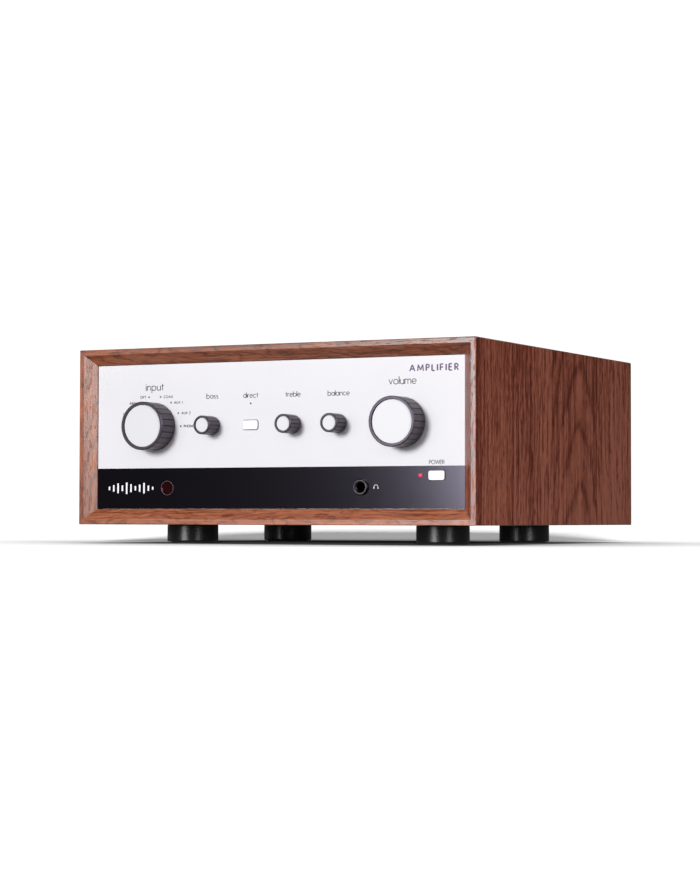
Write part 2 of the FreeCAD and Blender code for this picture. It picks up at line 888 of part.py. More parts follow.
def make_button(name, x, row):
    """A rounded key with a lip behind the fascia and a stem to its switch."""
    body = front_body(x, row)
    pad(body, "-fascia_thickness - button_lip_gap", "button_proud",
        [rectangle(0, 0, "button_width", "button_height")])
    half_width = measure("button_width / 2")
    soften(body, "Fillet", "button_corner", lambda edge: edge.BoundBox.ZLength > TOLERANCE
           and abs(abs(edge.BoundBox.Center.x) - half_width) < TOLERANCE)
    face = measure("button_proud")
    soften(body, "Fillet", "button_edge", lambda edge: abs(edge.BoundBox.ZMin - face) < TOLERANCE)
    lip_width, lip_height = "(button_width + 2 * button_lip)", "(button_height + 2 * button_lip)"
    pad(body, "-fascia_thickness - button_lip_gap - button_lip", "-fascia_thickness - button_lip_gap",
        [rectangle(0, 0, lip_width, lip_height)])
    stem_end = "-fascia_thickness - plate_thickness - control_board_back + switch_depth + button_travel"
    pad(body, f"{stem_end} + button_stem_gap", "-fascia_thickness - button_lip_gap - button_lip",
        circles=[(0, 0, "button_stem_radius")])
    keep(body, name)


def make_switches():
    switches = [block_on_axis(x, f"{INSIDE} + control_board_back - switch_depth", f"(foot_height + {row})",
                              "switch_size", "switch_depth", "switch_size")
                for x, row in (("direct_x", "control_row"), ("power_x", "power_row"))]
    keep(together(*switches), "button_switches")


# ---------------------------------------------------------------- knobs and what they turn

def rim_profile(radius, end, size):
    """What a chamfer takes off the outer edge of a barrel that ends at a height."""
    return [
        (f"{radius} - {size}", end),
        (f"{radius} + {OVERSHOOT}", end),
        (f"{radius} + {OVERSHOOT}", f"{end} - {size} - {OVERSHOOT}"),
    ]


def make_knob(name, size):
    """A fluted knob over its nut, the white disc sunk in its face and the shaft that it turns."""
    x = f"{name}_x"
    radius, reach, cap = f"{size}_radius", f"{size}_reach", f"{size}_cap_radius"
    disc_face = f"({reach} - {size}_recess)"
    disc_back = f"({disc_face} - cap_thickness)"
    bore_end = f"({disc_back} - bore_floor)"
    body = front_body(x, "control_row")
    fluted_barrel(body, radius, "knob_gap", reach, KNOB_FACETS[size], f"{size}_groove")
    rim = rim_profile(radius, reach, "knob_chamfer")
    face = [(0, reach), (f"{cap} + cap_gap", reach), (f"{cap} + cap_gap", disc_back), (0, disc_back)]
    well = [
        (0, "knob_gap"),
        ("well_radius", "knob_gap"),
        ("well_radius", "knob_gap + well_depth"),
        ("shaft_radius", "knob_gap + well_depth"),
        ("shaft_radius", bore_end),
        (0, bore_end),
    ]
    groove(body, rim, face, well)
    keep(body, f"{name}_knob")

    disc = front_body(x, "control_row")
    revolve(disc, [
        (0, disc_back),
        (cap, disc_back),
        (cap, f"{disc_face} - cap_edge"),
        (f"{cap} - cap_edge", disc_face),
        (0, disc_face),
    ])
    keep(disc, f"{name}_knob_cap")

    start = f"{FASCIA} - {bore_end}"
    length = f"{bore_end} + fascia_thickness + plate_thickness + shaft_inside"
    keep(rod((x, start, "foot_height + control_row"), "shaft_radius", length), f"{name}_shaft")


def control_behind(x, size, depth):
    """The housing of a rotary part and its threaded bush, bored for the shaft."""
    height = "(foot_height + control_row)"
    bush_start = f"{FASCIA} - bush_proud"
    housing = block_on_axis(x, INSIDE, height, size, depth, size)
    bush = rod((x, bush_start, height), "bush_radius", f"{INSIDE} - ({bush_start}) + {OVERSHOOT}")
    bore = rod((x, f"{bush_start} - {OVERSHOOT}", height), "shaft_radius + shaft_clearance",
               f"{INSIDE} - ({bush_start}) + {OVERSHOOT} + shaft_inside + shaft_end_gap")
    return housing, bush, bore


def make_controls():
    small = []
    for name in KNOBS:
        if name == "volume":
            continue
        housing, bush, bore = control_behind(f"{name}_x", "pot_size", "pot_depth")
        small.append(cut(fuse(housing, bush), bore))
    keep(together(*small), "rotary_controls")
    housing, bush, bore = control_behind("volume_x", "volume_pot_size", "volume_pot_depth")
    motor = rod(("volume_x", f"{INSIDE} + volume_pot_depth", "foot_height + control_row"),
                "motor_radius", "motor_length")
    keep(cut(fuse(housing, bush, motor), bore), "volume_pot")


def make_nuts():
    nuts = []
    height = "foot_height + control_row"
    start = f"{FASCIA} - nut_thickness"
    for x in [f"{name}_x" for name in KNOBS]:
        hexagon = doc.addObject("Part::Prism", "hexagon")
        hexagon.Polygon = HEXAGON
        bind(hexagon, Circumradius="nut_corner_radius", Height="nut_thickness")
        place(hexagon, (x, start, height), ALONG_Y)
        hole = rod((x, f"{start} - {OVERSHOOT}", height), "bush_radius",
                   f"nut_thickness + {2 * OVERSHOOT}")
        nuts.append(cut(hexagon, hole))
    ring = front_body("phones_x", "phones_row")
    revolve(ring, [
        ("phones_neck_radius", 0),
        ("phones_nut_radius", 0),
        ("phones_nut_radius", "nut_thickness - phones_nut_edge"),
        ("phones_nut_radius - phones_nut_edge", "nut_thickness"),
        ("phones_neck_radius", "nut_thickness"),
    ])
    nuts.append(ring)
    keep(together(*nuts), "bush_nuts")


def make_headphone_socket():
    height = "(foot_height + phones_row)"
    mouth = f"({FASCIA} - phones_neck_proud)"
    housing = block_on_axis("phones_x", INSIDE, height, "phones_body", "phones_body_depth", "phones_body")
    neck = rod(("phones_x", mouth, height), "phones_neck_radius", f"{INSIDE} - {mouth} + {OVERSHOOT}")
    bore = rod(("phones_x", f"{mouth} - {OVERSHOOT}", height), "phones_bore_radius",
               f"phones_bore_depth + {OVERSHOOT}")
    lead_in = doc.addObject("Part::Cone", "lead_in")
    bind(lead_in, Radius1="phones_bore_radius + phones_mouth", Radius2="phones_bore_radius",
         Height="phones_mouth")
    place(lead_in, ("phones_x", mouth, height), ALONG_Y)
    keep(cut(fuse(housing, neck), bore, lead_in), "headphone_socket")


# ---------------------------------------------------------------- rear sockets and terminals

def line_socket(x, row):
    """Metal shell with its collar, and the insulating core with the contact's bore."""
    height = f"(foot_height + {row})"
    shell = fuse(rod((x, REAR_INSIDE, height), "line_shell_radius", "plate_thickness + line_reach"),
                 rod((x, REAR, height), "line_collar_radius", "line_collar"))
    shell = cut(shell, rod((x, f"{REAR_INSIDE} - {OVERSHOOT}", height), "line_core_radius",
                           f"plate_thickness + line_reach + {2 * OVERSHOOT}"))
    core = rod((x, f"{REAR_INSIDE} - line_block_gap", height), "line_core_radius",
               "line_block_gap + plate_thickness + line_core_reach")
    bore = rod((x, f"{REAR} + line_core_reach - line_bore_depth", height),
               "line_bore_radius", f"line_bore_depth + {OVERSHOOT}")
    return shell, cut(core, bore)


def line_block(x, bottom, top):
    """The moulded block behind the panel that carries one socket or a pair."""
    low = (f"{x} - line_block_width / 2", f"{REAR_INSIDE} - line_block_gap - line_block_depth",
           f"foot_height + {bottom} - line_block_margin")
    size = ("line_block_width", "line_block_depth", f"{top} - {bottom} + 2 * line_block_margin")
    return box(low, size)


def make_line_sockets():
    """Four analogue pairs and the coaxial input, each core seated on its block."""
    shells, moulded = [], []
    places = line_places() + [("coax_x", "digital_row")]
    for x, row in places:
        shell, core = line_socket(x, row)
        shells.append(shell)
        moulded.append(core)
    for step in range(LINE_PAIRS):
        moulded.append(line_block(f"(line_left + {step} * line_pitch)", "line_lower", "line_upper"))
    moulded.append(line_block("coax_x", "digital_row", "digital_row"))
    keep(together(*shells), "rca_jacks")
    keep(together(*moulded), "rca_block")


def terminal_cap(x, row, radius, low, high, facets, bore):
    body = new_body((x, REAR, f"foot_height + {row}"), BACK)
    fluted_barrel(body, radius, low, high, facets, "terminal_cap_groove")
    start, end = f"{low} - {OVERSHOOT}", f"{high} + {OVERSHOOT}"
    hole = [(0, start), (bore, start), (bore, end), (0, end)]
    groove(body, rim_profile(radius, high, "terminal_cap_chamfer"), hole)
    return body


def make_terminals():
    height = "(foot_height + terminal_row)"
    posts, bosses, holes = [], [], []
    for x in terminal_places():
        post = rod((x, f"{REAR_INSIDE} - post_inside", height), "post_radius",
                   "post_inside + plate_thickness + post_reach")
        bore = rod((x, f"{REAR} + post_reach - post_bore_depth", height),
                   "post_bore_radius", f"post_bore_depth + {OVERSHOOT}")
        posts.append(cut(post, bore))
        boss_length = "terminal_boss_inside + plate_thickness + terminal_boss_reach"
        bosses.append(rod((x, f"{REAR_INSIDE} - terminal_boss_inside", height), "terminal_boss_radius",
                          boss_length))
        holes.append(rod((x, f"{REAR_INSIDE} - terminal_boss_inside - {OVERSHOOT}", height),
                         "post_radius", f"{boss_length} + {2 * OVERSHOOT}"))
    posts.append(rod(("earth_x", f"{REAR_INSIDE} - post_inside", "foot_height + earth_row"),
                     "earth_post_radius", "post_inside + plate_thickness + earth_post_reach"))
    keep(together(*posts), "terminal_posts")

    middle = f"(terminal_left + {(TERMINAL_COUNT - 1) / 2} * terminal_pitch)"
    plate = block_on_axis(middle, REAR, height, "terminal_plate_width", "terminal_plate_thickness",
                          "terminal_plate_height")
    keep(cut(fuse(plate, *bosses), *holes), "terminal_plate")

    names = ("right_negative", "right_positive", "left_negative", "left_positive")
    for name, x in zip(names, terminal_places()):
        cap = terminal_cap(x, "terminal_row", "terminal_cap_radius", "terminal_cap_start", "post_reach",
                           TERMINAL_FACETS, "post_radius + shaft_clearance")
        keep(cap, f"{name}_terminal_cap")
    earth = terminal_cap("earth_x", "earth_row", "earth_knob_radius", "earth_knob_start", "earth_knob_end",
                         EARTH_KNOB_FACETS, "earth_post_radius + shaft_clearance")
    keep(earth, "ground_knob")


def mains_blades():
    """Three flat contacts: the earth sits above the other two. Each ends in a tab inside."""
    floor_y = f"({REAR} + mains_flange_thickness - inlet_depth)"
    inlet_row = "(foot_height + mains_row - inlet_drop)"
    spots = [("-blade_spread", "-blade_drop"), ("0", "blade_drop"), ("blade_spread", "-blade_drop")]
    start = f"({REAR_INSIDE} - mains_body_depth - tab_length)"
    length = f"{floor_y} + inlet_depth - blade_setback - {start}"
    return [block_on_axis(f"(mains_x + {x})", start, f"({inlet_row} + {z})",
                          "blade_width", length, "blade_height") for x, z in spots]


def make_mains_inlet():
    row = "(foot_height + mains_row)"
    flange = block_on_axis("mains_x", REAR, row, "mains_flange_width", "mains_flange_thickness",
                           "mains_flange_height")
    housing = block_on_axis("mains_x", f"{REAR_INSIDE} - mains_body_depth", row, "mains_body_width",
                            f"mains_body_depth + plate_thickness + {OVERSHOOT}", "mains_body_height")
    face = f"({REAR} + mains_flange_thickness)"
    cavity = block_on_axis("mains_x", f"{face} - inlet_depth", f"({row} - inlet_drop)",
                           "inlet_width", f"inlet_depth + {OVERSHOOT}", "inlet_height")
    recess = block_on_axis("mains_x", f"{face} - rocker_window_depth", f"({row} + rocker_rise)",
                           "rocker_window_width", f"rocker_window_depth + {OVERSHOOT}",
                           "rocker_window_height")
    keep(cut(fuse(flange, housing), cavity, recess, *mains_blades()), "mains_inlet")
    keep(together(*mains_blades()), "mains_pins")


def make_rocker():
    """The switch's rocker, drawn across its pivot and resting with its lower end pressed in."""
    tilt = Rotation(Vector(1, 0, 0), measure("-rocker_tilt"))
    body = new_body(("mains_x - rocker_width / 2", f"{REAR} + mains_flange_thickness",
                     "foot_height + mains_row + rocker_rise"), tilt * ACROSS)
    pad(body, 0, "rocker_width", [[
        ("rocker_end_reach", "rocker_half"),
        ("rocker_middle_reach", 0),
        ("rocker_end_reach", "-rocker_half"),
        ("-rocker_heel", "-rocker_foot_half"),
        ("-rocker_heel", "rocker_foot_half"),
    ]])
    keep(body, "mains_rocker")


def make_optical_socket():
    height = "(foot_height + digital_row)"
    housing = block_on_axis("optical_x", f"{REAR_INSIDE} - optical_body_depth", height,
                            "optical_body", "optical_body_depth", "optical_body")
    nose = block_on_axis("optical_x", f"{REAR_INSIDE} - {OVERSHOOT}", height, "optical_nose",
                         f"plate_thickness + optical_reach + {OVERSHOOT}", "optical_nose")
    cavity = block_on_axis("optical_x", f"{REAR} + optical_reach - optical_cavity_depth", height,
                           "optical_cavity", f"optical_cavity_depth + {OVERSHOOT}", "optical_cavity")
    keep(cut(fuse(housing, nose), cavity), "optical_socket")
    side = "(optical_cavity - 2 * shutter_side_gap)"
    shutter = block_on_axis("optical_x", f"{REAR} + optical_reach - shutter_setback - shutter_thickness",
                            height, side, "shutter_thickness", side)
    keep(shutter, "optical_shutter")


def digital_socket(x, width, height, cavity_width, cavity_height, tongue_width, tongue):
    row = "(foot_height + digital_row)"
    mouth = f"({REAR} + socket_reach)"
    shell = block_on_axis(x, f"{REAR_INSIDE} - socket_body_depth", row, width,
                          "socket_body_depth + plate_thickness + socket_reach", height)
    cavity = block_on_axis(x, f"{mouth} - socket_cavity_depth", row, cavity_width,
                           f"socket_cavity_depth + {OVERSHOOT}", cavity_height)
    blade = block_on_axis(x, f"{mouth} - socket_cavity_depth - {OVERSHOOT}", row, tongue_width,
                          f"socket_cavity_depth + {OVERSHOOT} - tongue_setback", tongue)
    return fuse(cut(shell, cavity), blade)


def make_digital_sockets():
    video = digital_socket("video_x", "video_width", "video_height", "video_cavity_width",
                           "video_cavity_height", "video_tongue_width", "video_tongue")
    usb = digital_socket("usb_x", "usb_width", "usb_height", "usb_cavity_width",
                         "usb_cavity_height", "usb_tongue_width", "usb_tongue")
    keep(together(video, usb), "digital_sockets")


# ---------------------------------------------------------------- inside the chassis

def make_circuit_boards():
    main = box(("main_board_left", "front_y + main_board_front", f"{TRAY} + stud_height"),
               ("main_board_width", "main_board_length", "laminate"))
    inputs = box(("input_board_left", f"{REAR_INSIDE} - line_block_gap - line_block_depth - laminate",
                  "foot_height + input_board_bottom"),
                 ("input_board_width", "laminate", "input_board_height"))
    board_y = f"({INSIDE} + control_board_back)"
    control = box(("control_board_left", board_y, "foot_height + control_board_bottom"),
                  ("control_board_width", "laminate", "control_board_height"))
    volume_size = "(volume_pot_size + 2 * board_window_gap)"
    phones_size = "(phones_body + 2 * board_window_gap)"
    start, through = f"{board_y} - {OVERSHOOT}", f"laminate + {2 * OVERSHOOT}"
    windows = [
        block_on_axis("volume_x", start, "(foot_height + control_row)", volume_size, through, volume_size),
        block_on_axis("phones_x", start, "(foot_height + phones_row)", phones_size, through, phones_size),
    ]
    keep(together(main, inputs, cut(control, *windows)), "circuit_boards")


def make_transformer():
    """A ring winding clamped to the tray by a plate and one bolt through its eye."""
    centre = ("transformer_x", "front_y + transformer_front")
    body = new_body((*centre, TRAY))
    revolve(body, [
        ("transformer_eye", 0),
        ("transformer_radius", 0),
        ("transformer_radius", "transformer_height"),
        ("transformer_eye", "transformer_height"),
    ])
    soften(body, "Fillet", "transformer_rounding", lambda edge: edge.BoundBox.ZLength < TOLERANCE)
    keep(body, "transformer")
    plate = rod((*centre, f"{TRAY} + transformer_height"), "mount_plate_radius", "mount_plate_thickness", UP)
    bolt = rod((*centre, FLOOR), "mount_bolt_radius",
               "sheet_thickness + transformer_height + mount_plate_thickness", UP)
    hexagon = doc.addObject("Part::Prism", "hexagon")
    hexagon.Polygon = HEXAGON
    bind(hexagon, Circumradius="2 * mount_bolt_radius", Height="mount_bolt_head")
    place(hexagon, (*centre, f"{TRAY} + transformer_height + mount_plate_thickness"))
    keep(fuse(plate, bolt, hexagon), "transformer_mount")


def make_capacitors():
    cans = [rod((f"capacitor_left + {column} * capacitor_pitch",
                 f"front_y + capacitor_front + {row} * capacitor_pitch",
                 f"{TRAY} + stud_height + laminate"), "capacitor_radius", "capacitor_height", UP)
            for column in range(CAPACITOR_ROWS) for row in range(CAPACITOR_ROWS)]
    keep(together(*cans), "reservoir_capacitors")


def make_heatsink():
    """A comb of fins that point away from the transistors."""
    body = new_body((0, "front_y + heatsink_front", TRAY))
    root, tip = "heatsink_right - heatsink_base", "heatsink_right - heatsink_reach"
    count = int(measure("fin_count"))
    pitch = f"((heatsink_length - fin_thickness) / {count - 1})"
    outline = [("heatsink_right", "heatsink_length"), ("heatsink_right", 0)]
    for step in range(count):
        near, far = f"{step} * {pitch}", f"{step} * {pitch} + fin_thickness"
        outline += [(root, near)] if step else []
        outline += [(tip, near), (tip, far)]
        outline += [(root, far)] if step < count - 1 else []
    pad(body, 0, "heatsink_height", [outline])
    keep(body, "heatsink")


def make_transistors():
    packages = [box(("heatsink_right",
                     f"front_y + heatsink_front + transistor_first + {step} * transistor_pitch",
                     f"{TRAY} + transistor_row"),
                    ("transistor_thickness", "transistor_width", "transistor_height"))
                for step in range(TRANSISTOR_COUNT)]
    keep(together(*packages), "output_transistors")


# ---------------------------------------------------------------- build, check and export

def check_document():
    for thing in doc.Objects:
        if "Invalid" in thing.State or "Error" in thing.State:
            raise RuntimeError(f"{thing.Label} did not compute: {thing.State}")
    for node in nodes:
        if node.Shape.isNull() or not node.Shape.isValid():
            raise RuntimeError(f"{node.Label} has no valid shape")


def export_parts():
    os.makedirs("parts", exist_ok=True)
    for node in nodes:
        node.Shape.exportStep(f"parts/{node.Label}.step")


fill_sheet()
make_sleeve()
make_feet()
make_chassis_base()
make_chassis_cover()
make_chassis_front()
make_rear_panel()
make_case_screws()
make_fascia()
make_lights()
make_window()
make_button("direct_button", "direct_x", "control_row")
make_button("power_button", "power_x", "power_row")
make_switches()
for knob_name, knob_size in KNOBS.items():
    make_knob(knob_name, knob_size)
make_controls()
make_nuts()
make_headphone_socket()
make_line_sockets()
make_terminals()
make_mains_inlet()
make_rocker()
make_optical_socket()
make_digital_sockets()
make_circuit_boards()
make_transformer()
make_capacitors()
make_heatsink()
make_transistors()
doc.recompute()
check_document()
export_parts()
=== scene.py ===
"""Looks of the integrated amplifier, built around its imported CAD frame.

Metres, +X to the right seen from the front, +Y to the back, +Z up, origin on the floor.
"""

import math

import bpy
from mathutils import Euler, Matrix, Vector


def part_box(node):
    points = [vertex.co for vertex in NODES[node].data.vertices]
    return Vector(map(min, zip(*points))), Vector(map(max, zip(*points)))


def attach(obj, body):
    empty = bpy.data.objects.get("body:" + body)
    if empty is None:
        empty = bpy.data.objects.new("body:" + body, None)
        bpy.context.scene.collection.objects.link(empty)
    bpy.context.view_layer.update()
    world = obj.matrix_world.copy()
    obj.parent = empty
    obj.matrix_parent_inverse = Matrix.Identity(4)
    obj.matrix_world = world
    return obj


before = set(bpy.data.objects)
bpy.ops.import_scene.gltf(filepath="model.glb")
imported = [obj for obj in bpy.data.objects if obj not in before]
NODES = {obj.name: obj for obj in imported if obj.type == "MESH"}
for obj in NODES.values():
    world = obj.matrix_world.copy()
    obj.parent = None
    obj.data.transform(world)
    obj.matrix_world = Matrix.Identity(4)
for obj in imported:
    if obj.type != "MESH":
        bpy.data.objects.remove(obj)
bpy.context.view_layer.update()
MM = 0.001


def centre_of(node):
    low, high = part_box(node)
    return (low + high) / 2


FASCIA_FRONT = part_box("fascia_upper")[0].y
PANEL_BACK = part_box("rear_panel")[1].y
SLEEVE_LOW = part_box("cabinet_bottom")[0]
SLEEVE_FRONT = SLEEVE_LOW.y


# ---------------------------------------------------------------- node tree helper

class Graph:
    """One material's node tree. Each method adds a node and returns its output."""

    def __init__(self, name):
        self.material = bpy.data.materials.new(name)
        self.material.use_nodes = True
        self.tree = self.material.node_tree
        self.shader = self.tree.nodes["Principled BSDF"]
        self.coordinates = self.tree.nodes.new("ShaderNodeTexCoord").outputs["Object"]

    def plug(self, socket, value):
        if isinstance(value, bpy.types.NodeSocket):
            self.tree.links.new(value, socket)
        elif isinstance(value, (tuple, list)) and len(value) == 3 and socket.type == "RGBA":
            socket.default_value = (*value, 1.0)
        else:
            socket.default_value = value

    def add(self, kind, *inputs, **settings):
        node = self.tree.nodes.new("ShaderNode" + kind)
        for key, value in settings.items():
            setattr(node, key, value)
        for socket, value in zip(node.inputs, inputs):
            if value is not None:
                self.plug(socket, value)
        return node

    def math(self, operation, *values):
        return self.add("Math", *values, operation=operation).outputs[0]

    def scaled(self, factors, vector=None):
        """The object's coordinates, each multiplied by its own factor."""
        vector = vector or self.coordinates
        return self.add("VectorMath", vector, factors, operation="MULTIPLY").outputs[0]

    def noise(self, vector, detail=2.0, roughness=0.5):
        node = self.add("TexNoise")
        for key, value in (("Vector", vector), ("Scale", 1.0), ("Detail", detail),
                           ("Roughness", roughness)):
            self.plug(node.inputs[key], value)
        return node.outputs["Fac"]

    def remap(self, value, low, high, to_low=0.0, to_high=1.0):
        return self.add("MapRange", value, low, high, to_low, to_high).outputs[0]

    def ramp(self, value, *stops, **settings):
        node = self.add("ValToRGB", value)
        for key, setting in settings.items():
            setattr(node.color_ramp, key, setting)
        elements = node.color_ramp.elements
        while len(elements) < len(stops):
            elements.new(0.5)
        for element, (place, colour) in zip(elements, stops):
            element.position = place
            element.color = (*colour, 1.0)
        return node.outputs["Color"]

    def blend(self, factor, first, second):
        node = self.add("Mix", data_type="RGBA")
        self.plug(node.inputs[0], factor)
        self.plug(node.inputs[6], first)
        self.plug(node.inputs[7], second)
        return node.outputs[2]

    def bump(self, height, strength, distance):
        node = self.add("Bump")
        for key, value in (("Height", height), ("Strength", strength), ("Distance", distance)):
            self.plug(node.inputs[key], value)
        return node.outputs["Normal"]

    def finish(self, **inputs):
        """Plug the Principled shader: spaces in its names are written as underscores."""
        for key, value in inputs.items():
            self.plug(self.shader.inputs[key.replace("_", " ")], value)
        return self.material


def dress(node, material):
    for slot in NODES[node].material_slots:
        slot.material = material


# ---------------------------------------------------------------- walnut

RED_WALNUT = ((0.10, (0.085, 0.013, 0.005)), (0.30, (0.143, 0.025, 0.010)),
              (0.50, (0.238, 0.060, 0.032)), (0.80, (0.400, 0.130, 0.080)))
BROWN_WALNUT = ((0.10, (0.062, 0.012, 0.003)), (0.30, (0.108, 0.024, 0.008)),
                (0.50, (0.200, 0.053, 0.021)), (0.80, (0.340, 0.110, 0.052)))

# Each layer of noise: waves per metre across and along, detail, roughness and swing. The swing
# is in tone, but in metres for the wander of the rings.
BANDS = (22.0, 2.4, 3.0, 0.6, 1.0)
STREAKS = (240.0, 3.0, 2.0, 0.6, 1.05)
FIBRES = (620.0, 18.0, 2.0, 0.7, 1.15)
DASHES = (900.0, 130.0, 2.0, 0.6, 1.25)
RING_WANDER = (14.0, 5.0, 5.0, 0.62, 0.055)

# Rings per square metre away from the heart and per metre along it, and the tone over one ring
RING_CURVE = 850.0
RINGS_PER_METRE = 22.0
RING_PROFILE = ((0.0, 0.0), (0.16, 0.7), (0.55, 1.0), (0.82, 0.8), (1.0, 0.0))
RING_CONTRAST = 0.30
FLECK_DEPTH = 0.36
PORE_START, PORE_END = 0.52, 0.62

# The polish changes as this much of a face's normal points sideways or up
TURNED_FROM, TURNED_TO = 0.80, 0.95
SIDE_POLISH = 0.35


def grain_layer(graph, place, layer):
    across, along, detail, roughness, _ = layer
    return graph.noise(graph.scaled((across, along, across), place), detail=detail, roughness=roughness)


def centred(graph, value, contrast):
    """A noise value turned into a swing about zero."""
    return graph.math("MULTIPLY", graph.math("SUBTRACT", value, 0.5), contrast)


def growth_rings(graph, place, across, along, heart):
    """Latewood lines: arches about the heart line that run out straight on both sides."""
    wander = centred(graph, grain_layer(graph, place, RING_WANDER), RING_WANDER[-1])
    from_heart = graph.math("ADD", graph.math("SUBTRACT", across, heart), wander)
    curve = graph.math("MULTIPLY", graph.math("MULTIPLY", from_heart, from_heart), RING_CURVE)
    ring = graph.math("FRACT", graph.math("ADD", curve, graph.math("MULTIPLY", along, RINGS_PER_METRE)))
    return graph.ramp(ring, *[(share, (tone,) * 3) for share, tone in RING_PROFILE])


def knots(graph, across, along, marks):
    """Dark flecks with soft ends, each (across, along, half width, half length)."""
    total = None
    for mark_across, mark_along, half_width, half_length in marks:
        side = graph.math("DIVIDE", graph.math("SUBTRACT", across, mark_across), half_width)
        rise = graph.math("DIVIDE", graph.math("SUBTRACT", along, mark_along), half_length)
        square = graph.math("ADD", graph.math("MULTIPLY", side, side), graph.math("MULTIPLY", rise, rise))
        fleck = graph.math("POWER", math.e, graph.math("MULTIPLY", square, -1.0))
        total = graph.math("ADD", total, fleck) if total else fleck
    return total


def rubbed_polish(graph):
    """Share of full polish: whole on the bevels and front edges, little on the sides, none on top."""
    facing = graph.add("SeparateXYZ", graph.add("NewGeometry").outputs["Normal"]).outputs
    outward = graph.math("MAXIMUM", graph.math("ABSOLUTE", facing[0]), graph.math("ABSOLUTE", facing[2]))
    on_sides = graph.remap(outward, TURNED_FROM, TURNED_TO, to_low=1.0, to_high=SIDE_POLISH)
    on_top = graph.remap(facing[2], TURNED_FROM, TURNED_TO, to_low=1.0, to_high=0.0)
    return graph.math("MULTIPLY", on_sides, on_top)


def walnut(name, across, along, heart, seed, stain, base, boldness=0.7, marks=(), painted_light_slope=(0.0, 0.0)):
    """Flat-sawn veneer. across and along are axis numbers; heart is the figure's middle line.

    base is the tone under the figure, boldness is the figure's contrast, and painted_light_slope is how fast
    the tone rises per metre across and along the grain: painted light, brighter towards the floor and the
    back.
    """
    graph = Graph(name)
    split = graph.add("SeparateXYZ", graph.coordinates).outputs
    through = 3 - across - along
    place = graph.add("CombineXYZ", split[across], split[along], split[through]).outputs[0]
    place = graph.add("VectorMath", place, (seed, 0.37 * seed, 0.11 * seed), operation="ADD").outputs[0]

    rings = growth_rings(graph, place, split[across], split[along], heart)
    tone = graph.math("ADD", graph.math("MULTIPLY", rings, RING_CONTRAST), base)
    layers = [(grain_layer(graph, place, layer), layer[-1]) for layer in (BANDS, STREAKS, FIBRES, DASHES)]
    for layer, contrast in layers:
        tone = graph.math("ADD", tone, centred(graph, layer, contrast * boldness))
    # Painted light: the tone slopes across the face, lighter where more light falls on it.
    for axis, rate in zip((across, along), painted_light_slope):
        distance = graph.math("SUBTRACT", split[axis], SLEEVE_LOW[axis])
        tone = graph.math("ADD", tone, graph.math("MULTIPLY", distance, rate))
    if marks:
        fleck = knots(graph, split[across], split[along], marks)
        tone = graph.math("SUBTRACT", tone, graph.math("MULTIPLY", fleck, FLECK_DEPTH))

    fibres, dashes = layers[2][0], layers[3][0]
    pore = graph.remap(dashes, PORE_START, PORE_END)
    relief = graph.math("SUBTRACT", graph.math("MULTIPLY", fibres, 0.6), pore)
    polish = rubbed_polish(graph)
    coat = graph.remap(pore, 0.0, 1.0, to_low=0.95, to_high=0.15)
    return graph.finish(
        Base_Color=graph.ramp(tone, *stain),
        Roughness=graph.remap(pore, 0.0, 1.0, to_low=0.44, to_high=0.58),
        Specular_IOR_Level=graph.math("MULTIPLY", polish, 0.30),
        Coat_Weight=graph.math("MULTIPLY", polish, coat),
        Coat_Roughness=0.28,
        Normal=graph.bump(relief, 0.35, 0.00012),
    )


def make_walnut():
    x, y, z = 0, 1, 2
    flecks = [(SLEEVE_FRONT + depth * MM, SLEEVE_LOW.z + rise * MM, width * MM, length * MM)
              for depth, rise, width, length in ((76, 47, 2.6, 13), (100, 46, 3.0, 13), (132, 31, 3.6, 11))]
    # The right side's tone is painted lighter towards the bottom and the back, as light from the floor.
    dress("cabinet_right", walnut("walnut_right", y, z, SLEEVE_FRONT + 195 * MM, 3.1, RED_WALNUT, 0.36,
                                  boldness=1.0, marks=flecks, painted_light_slope=(0.5, -1.4)))
    for side, along, heart, seed, base in (("left", z, 120, 7.7, 0.27), ("top", x, 150, 12.4, 0.32),
                                           ("bottom", x, 210, 21.9, 0.38)):
        dress("cabinet_" + side, walnut("walnut_" + side, y, along, SLEEVE_FRONT + heart * MM, seed,
                                        BROWN_WALNUT, base))


# ---------------------------------------------------------------- other finishes

# Waves per metre of the surface grain, of the slow drift in colour and, on each axis, of drawn metal
FINE_GRAIN = 1400.0
DRIFT = 30.0
DRAWN_LINES = (1200.0, 60.0, 1200.0)


def moulded(name, colour, roughness, grain=FINE_GRAIN, relief=0.08, coat=0.0, variation=0.06,
            sheen=(1.0, 1.0, 1.0)):
    """Plastic or paint: a little colour drift, a fine surface grain and its own gloss."""
    graph = Graph(name)
    drift = graph.noise(graph.scaled((DRIFT,) * 3), detail=3.0)
    shade = graph.remap(drift, 0.3, 0.7, to_low=1.0 - variation, to_high=1.0 + variation)
    tinted = graph.add("VectorMath", colour, operation="SCALE")
    graph.plug(tinted.inputs["Scale"], shade)
    fine = graph.noise(graph.scaled((grain,) * 3), detail=2.0)
    return graph.finish(
        Base_Color=tinted.outputs[0],
        Roughness=graph.remap(fine, 0.3, 0.7, to_low=roughness - 0.03, to_high=roughness + 0.03),
        Specular_Tint=sheen,
        Coat_Weight=coat,
        Coat_Roughness=0.15,
        Normal=graph.bump(fine, relief, 0.00005),
    )


def metal(name, colour, roughness):
    """Brushed or plated metal with fine drawn lines."""
    graph = Graph(name)
    lines = graph.noise(graph.scaled(DRAWN_LINES), detail=3.0)
    return graph.finish(
        Base_Color=colour,
        Metallic=1.0,
        Roughness=graph.remap(lines, 0.3, 0.7, to_low=roughness - 0.06, to_high=roughness + 0.08),
        Normal=graph.bump(lines, 0.06, 0.00003),
    )


def lens(name, colour, roughness, glow=0.0):
    graph = Graph(name)
    return graph.finish(
        Base_Color=colour,
        Roughness=roughness,
        Coat_Weight=0.6,
        Coat_Roughness=0.05,
        Emission_Color=colour,
        Emission_Strength=glow,
    )


